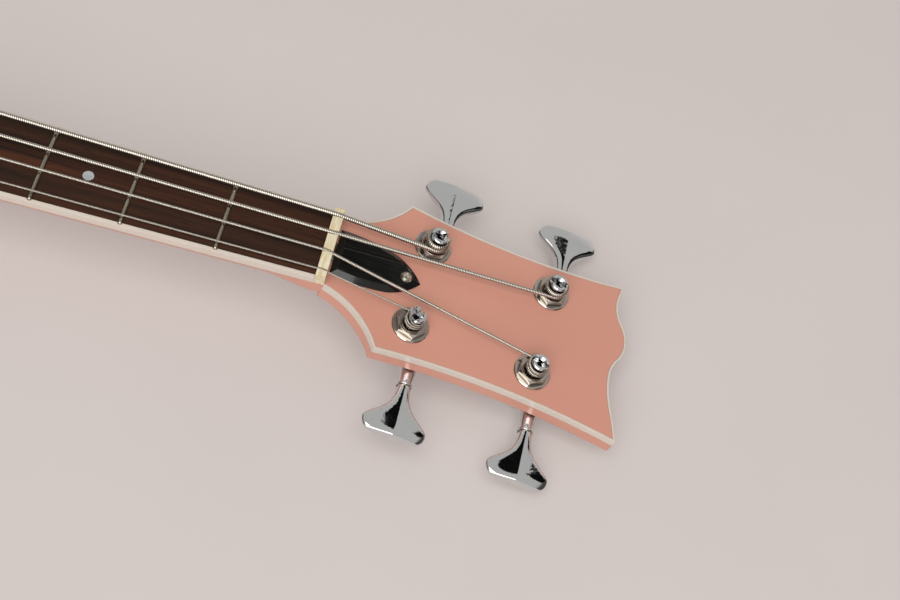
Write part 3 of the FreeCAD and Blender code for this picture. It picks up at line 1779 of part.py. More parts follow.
# Neck plate and its four screws, let in flush with the back
neck_plate = box(
    f"{plate_x} - plate_length / 2",
    "0 - plate_width / 2",
    "plate_sink",
    "plate_length",
    "plate_width",
    "plate_thickness",
)
countersinks = [
    cone(
        "neck_screw_head + fit_gap",
        "neck_screw_radius + fit_gap",
        "neck_screw_head - neck_screw_radius",
        x,
        y,
        "plate_sink",
    )
    for x, y in plate_screw_places
]
plate_holes = [
    cylinder("neck_screw_radius + fit_gap", "2 * plate_thickness", x, y, "0") for x, y in plate_screw_places
]
node("neck_plate", cut(neck_plate, *countersinks, *plate_holes))
plate_middle = board_end + d.heel_inset + d.heel_length / 2
neck_screws = [
    flush_screw(
        d.neck_screw_head,
        d.neck_screw_radius,
        d.neck_screw_length,
        Vector(plate_middle + i * d.plate_screw_along / 2, j * d.plate_screw_across / 2, d.plate_sink),
        UP,
    )
    for i, j in screw_corners
]
node("neck_screws", solid(Part.makeCompound(neck_screws)))

# Strap buttons at the tail and on the bass horn
button_profile = [
    ("button_screw_radius + fit_gap", "0"),
    ("button_base_radius", "0"),
    ("button_base_radius", "button_base"),
    ("button_neck_radius", "button_base * 2"),
    ("button_neck_radius", "button_height - button_cap * 1.5"),
    ("button_cap_radius", "button_height - button_cap"),
    ("button_cap_radius", "button_height - button_cap / 4"),
    ("button_cap_radius - button_cap / 4", "button_height"),
    ("button_screw_radius + fit_gap", "button_height"),
]
buttons, button_screws = [], []
for place, way in button_seats:
    button = turned(button_profile)
    button.Placement = Placement(place, Rotation(UP, way))
    buttons.append(button)
    button_screws.append(screw(
        d.button_screw_head,
        d.button_screw_rise,
        d.button_screw_radius,
        d.button_screw_length,
        place + way * d.button_height,
        way * -1,
    ))
node("strap_buttons", group(buttons))
node("strap_button_screws", solid(Part.makeCompound(button_screws)))

# Rear cover of the control cavity
rear_cover = stadium(controls[0], controls[3], d.cavity_radius + d.cavity_lip, cover_low, d.cover_plate)
rear_cover = rear_cover.cut(
    [drill(place, d.small_screw_radius + d.fit_gap, 2 * cavity_floor, UP) for place in cover_screw_places]
)
rear_cover = rear_cover.cut([
    Part.makeCone(
        d.small_screw_head + d.fit_gap,
        d.small_screw_radius + d.fit_gap,
        d.small_screw_head - d.small_screw_radius,
        place + UP * cover_low,
        UP,
    )
    for place in cover_screw_places
])
node("control_cover", solid(rear_cover))
cover_screws = [
    flush_screw(d.small_screw_head, d.small_screw_radius, d.small_screw_length, place + UP * cover_low, UP)
    for place in cover_screw_places
]
node("control_cover_screws", solid(Part.makeCompound(cover_screws)))

# Pickups: a moulded cover over a coil wound on its magnets, held down by two screws
coils, pickup_screws = [], []
for name, x in PICKUPS.items():
    case = padded(
        "XY_Plane",
        [
            ("0 - pickup_half_length", "0 - pickup_half_width"),
            ("pickup_half_length", "0 - pickup_half_width"),
            ("pickup_half_length", "pickup_half_width"),
            ("0 - pickup_half_length", "pickup_half_width"),
        ],
        "pickup_sink + pickup_stand",
        symmetric=False,
    )
    doc.recompute()
    block = case.Tip
    upper_edges = [
        f"Edge{i}" for i, edge in enumerate(block.Shape.Edges, start=1) if edge.BoundBox.ZMax > d.fit_gap
    ]
    rounding = case.newObject("PartDesign::Fillet", "rounding")
    rounding.Base = (block, upper_edges)
    tie(rounding, Radius="pickup_round")
    at(case, x, "0", PICKUP_FLOOR)
    inside = box(
        f"{x} - pickup_half_length + pickup_wall",
        f"0 - {COIL_HALF}",
        f"{PICKUP_FLOOR} - pickup_wall",
        "2 * (pickup_half_length - pickup_wall)",
        f"2 * {COIL_HALF}",
        "pickup_sink + pickup_stand",
    )
    screw_bores = [
        cylinder(
            "small_screw_radius + fit_gap",
            "4 * pickup_sink",
            x,
            f"{way} * {PICKUP_SCREW_Y}",
            f"{PICKUP_FLOOR} - pickup_sink",
        )
        for way in (-1, 1)
    ]
    lead_hole = cylinder(
        "wire_channel",
        "pickup_half_width",
        f"{x} + lead_offset",
        "0 - pickup_half_width / 2",
        "wire_height",
        "-Y",
    )
    side_hole = cylinder(
        "wire_channel",
        "4 * pickup_half_length",
        f"{x} - 2 * pickup_half_length",
        "0 - wire_track",
        "wire_height",
        "X",
    )
    node(f"{name}_pickup_cover", cut(case, inside, lead_hole, side_hole, *screw_bores))
    coil = box(
        f"{x} - coil_half_length",
        f"0 - {COIL_HALF}",
        PICKUP_FLOOR,
        "2 * coil_half_length",
        f"2 * {COIL_HALF}",
        "coil_height",
    )
    slot_tool = box(
        f"{x} - magnet_half - turn_gap",
        f"coil_half_length - {COIL_HALF}",
        f"{PICKUP_FLOOR} - pickup_wall",
        "2 * (magnet_half + turn_gap)",
        f"2 * ({COIL_HALF} - coil_half_length)",
        "2 * coil_height",
    )
    magnet = box(
        f"{x} - magnet_half",
        f"coil_half_length + turn_gap - {COIL_HALF}",
        PICKUP_FLOOR,
        "2 * magnet_half",
        f"2 * ({COIL_HALF} - coil_half_length - turn_gap)",
        "coil_height",
    )
    coils += [cut(coil, slot_tool), magnet]
    pickup_screws += [
        screw(
            d.small_screw_head,
            d.small_screw_rise,
            d.small_screw_radius,
            d.pickup_stand + d.pickup_sink + d.small_screw_length - d.fit_gap,
            Vector(getattr(d, x), way * pickup_screw_y, d.body_thickness + d.pickup_stand),
            DOWN,
        )
        for way in (-1, 1)
    ]
node("pickup_coils", group(coils))
node("pickup_screws", solid(Part.makeCompound(pickup_screws)))

# Controls: two volume pots and a tone pot under the front, with their nuts and knobs
KNOBS = ["neck_volume", "bridge_volume", "tone"]
pots, pot_nuts = [], []
for name, (x, y) in zip(KNOBS, control_places):
    can = fuse(
        cylinder("pot_radius", "pot_height", x, y, f"{CAVITY_ROOF} - pot_height"),
        cylinder("pot_bush_radius", "cavity_roof + pot_bush_stand", x, y, CAVITY_ROOF),
    )
    shaft_low = f"({CAVITY_ROOF} - pot_height + pot_floor)"
    pots.append(cut(
        can, cylinder("pot_shaft_radius + turn_gap", "body_thickness", x, y, shaft_low)
    ))
    pot_nuts.append(cut(
        hexagon("pot_nut_flats", "pot_nut_height", x, y, "body_thickness"),
        cylinder("pot_bush_radius + turn_gap", "3 * pot_nut_height", x, y, "body_thickness - pot_nut_height"),
    ))
    knob = turned([
        ("knob_recess_radius", "knob_lift"),
        ("knob_radius", "knob_lift"),
        ("knob_radius", "knob_skirt"),
        ("knob_radius - knob_crown", "knob_skirt + knob_crown"),
        ("knob_top_radius", "knob_height - knob_crown"),
        ("knob_top_radius - knob_crown", "knob_height"),
        ("0", "knob_height"),
        ("0", "pot_shaft_stand + fit_gap"),
        ("pot_shaft_radius + turn_gap", "pot_shaft_stand + fit_gap"),
        ("pot_shaft_radius + turn_gap", "knob_recess"),
        ("knob_recess_radius", "knob_recess"),
    ])
    at(knob, x, y, "body_thickness")
    shaft = cylinder(
        "pot_shaft_radius",
        f"body_thickness + pot_shaft_stand - {shaft_low} - fit_gap",
        x,
        y,
        f"{shaft_low} + fit_gap",
    )
    node(f"{name}_knob", group([knob, shaft]))
node("pots", group(pots))
tone_x, tone_y = control_places[2]
node(
    "capacitor",
    box(
        f"{tone_x} - capacitor_length / 2",
        f"{tone_y} - capacitor_width / 2",
        f"{CAVITY_ROOF} - pot_height - capacitor_height",
        "capacitor_length",
        "capacitor_width",
        "capacitor_height",
    ),
)

# Output jack through the front, with its nut, and the leads between the electrical pieces
jack_x, jack_y = control_places[3]
jack = cut(
    fuse(
        cylinder("jack_radius", "jack_depth", jack_x, jack_y, f"{CAVITY_ROOF} - jack_depth"),
        cylinder("jack_bush_radius", "cavity_roof + jack_bush_stand", jack_x, jack_y, CAVITY_ROOF),
    ),
    cylinder(
        "jack_bore_radius", "2 * body_thickness", jack_x, jack_y, f"{CAVITY_ROOF} - jack_depth + jack_floor"
    ),
)
node("output_jack", jack)
jack_nut = cut(
    hexagon("jack_nut_flats", "jack_nut_height", jack_x, jack_y, "body_thickness"),
    cylinder(
        "jack_bush_radius + turn_gap",
        "3 * jack_nut_height",
        jack_x,
        jack_y,
        "body_thickness - jack_nut_height",
    ),
)
node("control_nuts", group([*pot_nuts, jack_nut]))
pot_span = "sqrt(control_step ^ 2 + control_drop ^ 2)"
lead_angle = "atan(control_drop / control_step)"
leads = [
    cylinder(
        "wire_radius",
        f"control_y - pot_radius - {COIL_HALF} - 2 * fit_gap",
        "bridge_pickup_x + lead_offset",
        f"0 - {COIL_HALF} - fit_gap",
        "wire_height",
        "-Y",
    ),
    cylinder(
        "wire_radius",
        "neck_pickup_x - bridge_pickup_x - 2 * coil_half_length - 2 * fit_gap",
        "bridge_pickup_x + coil_half_length + fit_gap",
        "0 - wire_track",
        "wire_height",
        "X",
    ),
]
for i, (x, y) in enumerate(control_places[:3]):
    far_radius = "jack_radius" if i == 2 else "pot_radius"
    lead = cylinder(
        "wire_radius",
        f"{pot_span} - pot_radius - {far_radius} - 2 * fit_gap",
        f"{x} - (pot_radius + fit_gap) * cos({lead_angle})",
        f"{y} - (pot_radius + fit_gap) * sin({lead_angle})",
        "wire_height",
    )
    lead.Placement.Rotation = Rotation(UP, line)
    leads.append(lead)
node("wiring", group(leads))

# Check every object and every piece, then write one file for each piece
doc.recompute()
faults = [obj.Name for obj in doc.Objects if "Invalid" in obj.State or "Error" in obj.State]
if faults:
    raise SystemExit(f"failed objects: {faults}")
for obj in nodes:
    if obj.Shape.isNull() or not obj.Shape.isValid() or not obj.Shape.Solids:
        raise SystemExit(f"bad shape: {obj.Label}")
os.makedirs("parts", exist_ok=True)
for obj in nodes:
    obj.Shape.exportStep(f"parts/{obj.Label}.step")
print(f"{len(nodes)} pieces written")
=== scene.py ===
import json
import math

import bmesh
import bpy
import numpy as np
from mathutils import Matrix, Vector


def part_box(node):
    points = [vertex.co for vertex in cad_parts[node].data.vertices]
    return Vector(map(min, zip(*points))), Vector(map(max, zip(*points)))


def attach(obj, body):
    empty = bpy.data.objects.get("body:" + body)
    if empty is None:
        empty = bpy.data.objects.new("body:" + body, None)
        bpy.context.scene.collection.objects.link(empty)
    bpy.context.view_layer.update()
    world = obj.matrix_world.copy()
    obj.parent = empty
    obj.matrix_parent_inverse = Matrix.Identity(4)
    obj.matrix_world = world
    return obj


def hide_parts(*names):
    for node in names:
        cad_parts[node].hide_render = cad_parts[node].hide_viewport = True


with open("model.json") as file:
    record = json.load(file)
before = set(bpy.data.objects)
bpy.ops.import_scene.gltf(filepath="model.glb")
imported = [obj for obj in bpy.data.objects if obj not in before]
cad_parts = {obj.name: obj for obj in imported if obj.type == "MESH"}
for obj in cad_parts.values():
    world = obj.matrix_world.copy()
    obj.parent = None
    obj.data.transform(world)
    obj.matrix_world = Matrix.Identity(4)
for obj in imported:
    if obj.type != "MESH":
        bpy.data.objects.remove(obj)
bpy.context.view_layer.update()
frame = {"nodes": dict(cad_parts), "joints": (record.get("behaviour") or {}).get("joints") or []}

cad = frame["nodes"]
joints = {joint["name"]: joint for joint in frame["joints"]}
scene = bpy.context.scene
scene.view_settings.view_transform = "Standard"

# Neck shaft, headstock and body: maple and alder under one coat of salmon paint and a clear polyester
# coat, sanded flat and buffed. The eye sees an even, slightly soft colour with a clear gloss over it.


def linear(code):
    """An sRGB hex value as the linear colour that a shader takes."""
    srgb = np.array([int(code[i:i + 2], 16) for i in (1, 3, 5)]) / 255
    rgb = np.where(srgb <= 0.04045, srgb / 12.92, ((srgb + 0.055) / 1.055) ** 2.4)
    return (*rgb.tolist(), 1)


def node(tree, kind, inputs, **settings):
    """Adds a shader node with its settings; each input is a value or the socket that feeds it."""
    made = tree.nodes.new("ShaderNode" + kind)
    for name, value in settings.items():
        setattr(made, name, value)
    for name, value in inputs.items():
        if isinstance(value, bpy.types.NodeSocket):
            tree.links.new(value, made.inputs[name])
        else:
            made.inputs[name].default_value = value
    return made


def finish(name, **sockets):
    """A new material, its node tree and its shader, with fixed values on the shader's own sockets."""
    material = bpy.data.materials.new(name)
    material.use_nodes = True
    shader = material.node_tree.nodes["Principled BSDF"]
    for socket, value in sockets.items():
        shader.inputs[socket.replace("_", " ")].default_value = value
    return material, material.node_tree, shader


def dress(names, material):
    """Puts a finish on nodes that keep their own shape."""
    for name in names:
        cad[name].data.materials.clear()
        cad[name].data.materials.append(material)


MM = 0.001


def repeats(size_mm):
    """How often a pattern of this size in millimetres, or of these sizes, comes again within a metre."""
    return (1 / (np.array(size_mm) * MM)).tolist()


lacquer, tree, shader = finish(
    "salmon_polyester_lacquer", Roughness=0.34, Coat_Weight=0.55, Coat_Roughness=0.07, Coat_IOR=1.5
)
place = node(tree, "TexCoord", {}).outputs["Object"]
cloud_mm, peel_mm, peel_depth_mm, edge_mm = 70, 2.4, 0.05, 0.5
cloud = node(tree, "TexNoise", {"Vector": place, "Scale": repeats(cloud_mm), "Detail": 3})
tint = node(
    tree, "Mix", {0: cloud.outputs["Fac"], 6: linear("#CF8F7C"), 7: linear("#D59782")}, data_type="RGBA"
)
tree.links.new(tint.outputs[2], shader.inputs["Base Color"])
edge = node(tree, "Bevel", {"Radius": edge_mm * MM}, samples=6)
peel = node(tree, "TexNoise", {"Vector": place, "Scale": repeats(peel_mm), "Detail": 1})
skin = node(
    tree,
    "Bump",
    {
        "Height": peel.outputs["Fac"],
        "Strength": 0.05,
        "Distance": peel_depth_mm * MM,
        "Normal": edge.outputs["Normal"],
    },
)
tree.links.new(skin.outputs["Normal"], shader.inputs["Normal"])
tree.links.new(edge.outputs["Normal"], shader.inputs["Coat Normal"])
dress(["neck_shaft", "headstock", "body"], lacquer)

# Edge binding: strips of off-white plastic glued into a step round the headstock, the board and the
# front, scraped flush and lacquered over. It looks like warm ivory with a soft depth.
binding, tree, shader = finish(
    "ivory_plastic_binding", Roughness=0.3, Coat_Weight=0.4, Coat_Roughness=0.08, Subsurface_Weight=0.12
)
glow_mm = (1.2, 1.0, 0.8)
shader.inputs["Subsurface Radius"].default_value = [depth * MM for depth in glow_mm]
shader.inputs["Subsurface Scale"].default_value = 1
place = node(tree, "TexCoord", {}).outputs["Object"]
cloud_mm, edge_mm = 25, 0.35
cloud = node(tree, "TexNoise", {"Vector": place, "Scale": repeats(cloud_mm), "Detail": 4})
tint = node(
    tree, "Mix", {0: cloud.outputs["Fac"], 6: linear("#D3C6B9"), 7: linear("#DBD0C4")}, data_type="RGBA"
)
tree.links.new(tint.outputs[2], shader.inputs["Base Color"])
edge = node(tree, "Bevel", {"Radius": edge_mm * MM}, samples=6)
tree.links.new(edge.outputs["Normal"], shader.inputs["Normal"])
dress(["headstock_binding", "fretboard_binding", "body_binding"], binding)

# Fretboard: oiled rosewood, planed along the neck. Long dark and reddish streaks follow X, with fine
# open pores in the same direction that catch the light as short dark dashes.
rosewood, tree, shader = finish("oiled_rosewood", Roughness=0.6, Specular_IOR_Level=0.2)
place = node(tree, "TexCoord", {}).outputs["Object"]
streak_mm, band_mm, pore_mm, pore_depth_mm = (130, 3.2, 6), (260, 11, 20), (9, 0.5, 0.8), 0.12
streak_place = node(tree, "Mapping", {"Vector": place, "Scale": repeats(streak_mm)})
streak = node(
    tree,
    "TexNoise",
    {"Vector": streak_place.outputs["Vector"], "Scale": 1, "Detail": 5, "Roughness": 0.6},
)
band_place = node(tree, "Mapping", {"Vector": place, "Scale": repeats(band_mm)})
band = node(tree, "TexNoise", {"Vector": band_place.outputs["Vector"], "Scale": 1, "Detail": 2})
pore_place = node(tree, "Mapping", {"Vector": place, "Scale": repeats(pore_mm)})
pore = node(tree, "TexNoise", {"Vector": pore_place.outputs["Vector"], "Scale": 1, "Detail": 1})
depth = node(
    tree, "MapRange", {"Value": streak.outputs["Fac"], "From Min": 0.34, "From Max": 0.68}, clamp=True
)
warmth = node(
    tree, "MapRange", {"Value": band.outputs["Fac"], "From Min": 0.35, "From Max": 0.65}, clamp=True
)
red = node(
    tree,
    "Mix",
    {0: warmth.outputs["Result"], 6: linear("#3A2416"), 7: linear("#542D1A")},
    data_type="RGBA",
)
brown = node(
    tree, "Mix", {0: depth.outputs["Result"], 6: linear("#22120A"), 7: red.outputs[2]}, data_type="RGBA"
)
open_pore = node(
    tree,
    "MapRange",
    {"Value": pore.outputs["Fac"], "From Min": 0.62, "From Max": 0.72, "To Max": 0.75},
    clamp=True,
)
grain = node(
    tree,
    "Mix",
    {0: open_pore.outputs["Result"], 6: brown.outputs[2], 7: linear("#140B07")},
    data_type="RGBA",
)
tree.links.new(grain.outputs[2], shader.inputs["Base Color"])
relief = node(
    tree,
    "Bump",
    {"Height": open_pore.outputs["Result"], "Strength": 0.35, "Distance": pore_depth_mm * MM},
    invert=True,
)
tree.links.new(relief.outputs["Normal"], shader.inputs["Normal"])
dress(["fretboard"], rosewood)

# Position dots: discs of grey-white pearl plastic set flush in the board.
# Swirls of a paler tone drift through each disc.
pearl, tree, shader = finish("pearl_plastic", Roughness=0.22, Coat_Weight=0.5, Coat_Roughness=0.05)
place = node(tree, "TexCoord", {}).outputs["Object"]
swirl_mm = 2.2
swirl = node(
    tree, "TexNoise", {"Vector": place, "Scale": repeats(swirl_mm), "Detail": 2, "Distortion": 1.2}
)
tint = node(
    tree, "Mix", {0: swirl.outputs["Fac"], 6: linear("#93989C"), 7: linear("#C6C9CA")}, data_type="RGBA"
)
tree.links.new(tint.outputs[2], shader.inputs["Base Color"])
dress(["fret_markers"], pearl)

# Frets: drawn nickel-silver wire, pressed into the board, its ends dressed round over the binding.
# Each is a half-round bead that follows the board's crown and is polished along its top.


def surface(name, points, material, wrap_rows=False, cap=False):
    """A skin over a grid of points in millimetres, closed round its columns, with a UV map of both.

    The rows close too, or caps close the first and the last, and the faces are turned outwards."""
    rows, cols = points.shape[:2]
    row, col = np.meshgrid(np.arange(rows - (not wrap_rows)), np.arange(cols), indexing="ij")
    corner_row = np.stack([row, row, row + 1, row + 1], -1).reshape(-1, 4)
    corner_col = np.stack([col, col + 1, col + 1, col], -1).reshape(-1, 4)
    faces = (corner_row % rows * cols + corner_col % cols).tolist()
    uv = np.stack([corner_row / rows, corner_col / cols], -1).reshape(-1, 2)
    if cap:
        faces += [list(range(cols)), list(range((rows - 1) * cols, rows * cols))]
        uv = np.vstack([uv, np.zeros((2 * cols, 2))])
    mesh = bpy.data.meshes.new(name)
    mesh.from_pydata((points.reshape(-1, 3) * MM).tolist(), [], faces)
    mesh.uv_layers.new(name="UVMap").data.foreach_set("uv", uv.ravel())
    mesh.polygons.foreach_set("use_smooth", np.array([len(face) == 4 for face in faces]))
    mesh.materials.append(material)
    work = bmesh.new()
    work.from_mesh(mesh)
    bmesh.ops.recalc_face_normals(work, faces=work.faces)
    work.to_mesh(mesh)
    work.free()
    piece = bpy.data.objects.new(name, mesh)
    scene.collection.objects.link(piece)
    return piece


def joined(name, pieces):
    """Several pieces of one finish as one object."""
    work = bmesh.new()
    for piece in pieces:
        work.from_mesh(piece.data)
    mesh = bpy.data.meshes.new(name)
    work.to_mesh(mesh)
    work.free()
    mesh.materials.append(pieces[0].data.materials[0])
    for piece in pieces:
        bpy.data.objects.remove(piece)
    whole = bpy.data.objects.new(name, mesh)
    scene.collection.objects.link(whole)
    return whole


nickel_silver, tree, shader = finish("nickel_silver_wire", Metallic=1, Roughness=0.2)
place = node(tree, "TexCoord", {}).outputs["Object"]
scuff_mm = (0.5, 8, 8)
scuff_place = node(tree, "Mapping", {"Vector": place, "Scale": repeats(scuff_mm)})
scuff = node(tree, "TexNoise", {"Vector": scuff_place.outputs["Vector"], "Scale": 1, "Detail": 3})
tint = node(
    tree, "Mix", {0: scuff.outputs["Fac"], 6: linear("#8C8270"), 7: linear("#CDC3AF")}, data_type="RGBA"
)
tree.links.new(tint.outputs[2], shader.inputs["Base Color"])
dull = node(tree, "MapRange", {"Value": scuff.outputs["Fac"], "To Min": 0.14, "To Max": 0.34})
tree.links.new(dull.outputs["Result"], shader.inputs["Roughness"])

scale_length, board_top, crown_radius = 863.6, 53.0, 350.0
nut_half, board_end_half, fret_count, overhang = 20.0, 32.0, 22, 10.0
fret_half, fret_rise, fret_sink, fret_inset, dressed_end = 1.3, 1.2, 0.1, 0.7, 0.9
fret_rows, fret_sides, end_limit = 41, 20, 0.995
board_end = scale_length * 2 ** (-fret_count / 12) - overhang


def fret_bead(number):
    """Half an ellipse swept across the crown; in the dressed end it shrinks as a quarter circle."""
    x = scale_length * 2 ** (-number / 12)
    board_half = nut_half + (board_end_half - nut_half) * (scale_length - x) / (scale_length - board_end)
    half = board_half - fret_inset
    sweep = np.linspace(-1, 1, fret_rows)[:, None]
    across = half * np.sin(sweep * np.pi / 2)
    past = np.clip((np.abs(across) - half + dressed_end) / dressed_end, 0, end_limit)
    shrink = np.sqrt(1 - past ** 2)
    turn = np.linspace(0, 2 * np.pi, fret_sides, endpoint=False)[None, :]
    crown = board_top - crown_radius + np.sqrt(crown_radius ** 2 - across ** 2)
    lift = np.where(np.sin(turn) > 0, fret_rise * np.sin(turn) * shrink, -fret_sink)
    return np.stack([x + fret_half * np.cos(turn) * shrink, across + 0 * turn, crown + lift], -1)


beads = [fret_bead(number) for number in range(1, fret_count + 1)]
frets = joined("fret_wires", [surface("fret", bead, nickel_silver, cap=True) for bead in beads])
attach(frets, "instrument")
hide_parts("frets")

# Nut: a block of bone, sawn, slotted and polished, glued against the end of the board.
# Bone is a warm cream with darker, yellower fibres along it.
bone, tree, shader = finish("polished_bone", Roughness=0.34, Subsurface_Weight=0.15)
glow_mm = (1.5, 1.1, 0.7)
shader.inputs["Subsurface Radius"].default_value = [depth * MM for depth in glow_mm]
shader.inputs["Subsurface Scale"].default_value = 1
place = node(tree, "TexCoord", {}).outputs["Object"]
fibre_mm, edge_mm = (1.6, 9, 3), 0.5
fibre_place = node(tree, "Mapping", {"Vector": place, "Scale": repeats(fibre_mm)})
fibre = node(tree, "TexNoise", {"Vector": fibre_place.outputs["Vector"], "Scale": 1, "Detail": 4})
patch = node(
    tree, "MapRange", {"Value": fibre.outputs["Fac"], "From Min": 0.35, "From Max": 0.7}, clamp=True
)
tint = node(
    tree,
    "Mix",
    {0: patch.outputs["Result"], 6: linear("#E9DFC6"), 7: linear("#D2BC8A")},
    data_type="RGBA",
)
tree.links.new(tint.outputs[2], shader.inputs["Base Color"])
edge = node(tree, "Bevel", {"Radius": edge_mm * MM}, samples=6)
tree.links.new(edge.outputs["Normal"], shader.inputs["Normal"])
dress(["nut"], bone)

# Truss rod and its nut: plain turned steel, dark with oil, in the pocket under the cover.
# It shows only when the cover is off.
steel, tree, shader = finish("turned_steel", Metallic=1, Roughness=0.36)
place = node(tree, "TexCoord", {}).outputs["Object"]
turning_mm = (0.4, 30, 30)
turning_place = node(tree, "Mapping", {"Vector": place, "Scale": repeats(turning_mm)})
turning = node(tree, "TexNoise", {"Vector": turning_place.outputs["Vector"], "Scale": 1, "Detail": 2})
tint = node(
    tree, "Mix", {0: turning.outputs["Fac"], 6: linear("#6E6C68"), 7: linear("#A9A7A2")}, data_type="RGBA"
)
tree.links.new(tint.outputs[2], shader.inputs["Base Color"])
dress(["truss_rod", "truss_rod_nut"], steel)

# Truss-rod cover, pickup covers and rear cover: black acrylic and ABS, moulded or milled and polished.
# A deep black with a sharp gloss and a few hair scratches.
black_gloss, tree, shader = finish("polished_black_acrylic", Roughness=0.1, IOR=1.49)
place = node(tree, "TexCoord", {}).outputs["Object"]
scratch_mm, scratch_turn, edge_mm = (18, 0.35, 2), 0.3, 0.3
scratch_place = node(
    tree, "Mapping", {"Vector": place, "Rotation": (0, 0, scratch_turn), "Scale": repeats(scratch_mm)}
)
scratch = node(tree, "TexNoise", {"Vector": scratch_place.outputs["Vector"], "Scale": 1, "Detail": 2})
dull = node(
    tree,
    "MapRange",
    {"Value": scratch.outputs["Fac"], "From Min": 0.45, "From Max": 0.75, "To Min": 0.07, "To Max": 0.2},
    clamp=True,
)
tree.links.new(dull.outputs["Result"], shader.inputs["Roughness"])
tint = node(
    tree, "Mix", {0: scratch.outputs["Fac"], 6: linear("#10100F"), 7: linear("#191917")}, data_type="RGBA"
)
tree.links.new(tint.outputs[2], shader.inputs["Base Color"])
edge = node(tree, "Bevel", {"Radius": edge_mm * MM}, samples=6)
tree.links.new(edge.outputs["Normal"], shader.inputs["Normal"])
dress(["truss_rod_cover", "neck_pickup_cover", "bridge_pickup_cover", "control_cover"], black_gloss)

# Screws: nickel-plated steel with pressed cross recesses.
# The plating is bright but warmer and softer than chrome.
nickel, tree, shader = finish("nickel_plated_steel", Metallic=1, Roughness=0.22)
place = node(tree, "TexCoord", {}).outputs["Object"]
handling_mm, edge_mm = 3, 0.15
handling = node(tree, "TexNoise", {"Vector": place, "Scale": repeats(handling_mm), "Detail": 3})
tint = node(
    tree,
    "Mix",
    {0: handling.outputs["Fac"], 6: linear("#B4AE9F"), 7: linear("#E2DCCD")},
    data_type="RGBA",
)
tree.links.new(tint.outputs[2], shader.inputs["Base Color"])
edge = node(tree, "Bevel", {"Radius": edge_mm * MM}, samples=6)
tree.links.new(edge.outputs["Normal"], shader.inputs["Normal"])
dress(
    [
        "truss_cover_screw",
        "tuner_screws",
        "bridge_screws",
        "intonation_screws",
        "neck_screws",
        "strap_button_screws",
        "control_cover_screws",
        "pickup_screws",
    ],
    nickel,
)

# Machine heads and other plated hardware: zinc and brass castings, polished and chrome plated.
# A cold mirror, faintly rippled from the casting; fingerprints leave duller patches, and slots and
# crevices are painted near black as shade.
chrome, tree, shader = finish("polished_chrome", Metallic=1, Roughness=0.05)
place = node(tree, "TexCoord", {}).outputs["Object"]
smudge_mm, ripple_mm, ripple_depth_mm, edge_mm, crevice_mm = 9, 2.2, 0.022, 0.3, 3
smudge = node(tree, "TexNoise", {"Vector": place, "Scale": repeats(smudge_mm), "Detail": 3})
dull = node(
    tree,
    "MapRange",
    {"Value": smudge.outputs["Fac"], "From Min": 0.4, "From Max": 0.75, "To Min": 0.025, "To Max": 0.08},
    clamp=True,
)
tree.links.new(dull.outputs["Result"], shader.inputs["Roughness"])
tint = node(
    tree, "Mix", {0: smudge.outputs["Fac"], 6: linear("#DADBDC"), 7: linear("#E6E7E8")}, data_type="RGBA"
)
# Painted shade: where ambient occlusion finds a crevice within a few millimetres, the colour turns near
# black
nook = node(tree, "AmbientOcclusion", {"Distance": crevice_mm * MM}, samples=8)
unshaded_share = node(
    tree, "MapRange", {"Value": nook.outputs["AO"], "From Min": 0.35, "From Max": 0.65}, clamp=True
)
painted_crevice_shade = node(
    tree, "Mix", {0: unshaded_share.outputs["Result"], 6: linear("#161413"), 7: tint.outputs[2]}, data_type="RGBA"
)
tree.links.new(painted_crevice_shade.outputs[2], shader.inputs["Base Color"])
edge = node(tree, "Bevel", {"Radius": edge_mm * MM}, samples=6)
ripple = node(tree, "TexNoise", {"Vector": place, "Scale": repeats(ripple_mm), "Detail": 1})
skin = node(
    tree,
    "Bump",
    {
        "Height": ripple.outputs["Fac"],
        "Distance": ripple_depth_mm * MM,
        "Normal": edge.outputs["Normal"],
    },
)
tree.links.new(skin.outputs["Normal"], shader.inputs["Normal"])
letters = "eadg"
dress(
    [
        "tuner_housings",
        *[f"string_post_{letter}" for letter in letters],
        *[f"worm_shaft_{letter}" for letter in letters],
        *[f"saddle_{letter}" for letter in letters],
        "bridge_plate",
        "neck_plate",
        "strap_buttons",
        "control_nuts",
        "output_jack",
    ],
    chrome,
)

# Bushings and washers of the machine heads: turned and stamped brass, nickel plated without polishing.
# They look greyer and softer than the chrome round them; their crevices, as round the post, are painted
# dark as shade.
satin_nickel, tree, shader = finish("satin_nickel_plate", Metallic=1, Roughness=0.13)
place = node(tree, "TexCoord", {}).outputs["Object"]
stain_mm, edge_mm, crevice_mm = 5, 0.35, 3
stain = node(tree, "TexNoise", {"Vector": place, "Scale": repeats(stain_mm), "Detail": 3})
tint = node(
    tree, "Mix", {0: stain.outputs["Fac"], 6: linear("#B5ADA3"), 7: linear("#D8D1C8")}, data_type="RGBA"
)
# Painted shade: where ambient occlusion finds a crevice within a few millimetres, the colour turns dark
nook = node(tree, "AmbientOcclusion", {"Distance": crevice_mm * MM}, samples=8)
unshaded_share = node(
    tree, "MapRange", {"Value": nook.outputs["AO"], "From Min": 0.35, "From Max": 0.75}, clamp=True
)
painted_crevice_shade = node(
    tree, "Mix", {0: unshaded_share.outputs["Result"], 6: linear("#1F1C19"), 7: tint.outputs[2]}, data_type="RGBA"
)
tree.links.new(painted_crevice_shade.outputs[2], shader.inputs["Base Color"])
edge = node(tree, "Bevel", {"Radius": edge_mm * MM}, samples=6)
tree.links.new(edge.outputs["Normal"], shader.inputs["Normal"])
dress(["tuner_bushings", "tuner_washers"], satin_nickel)

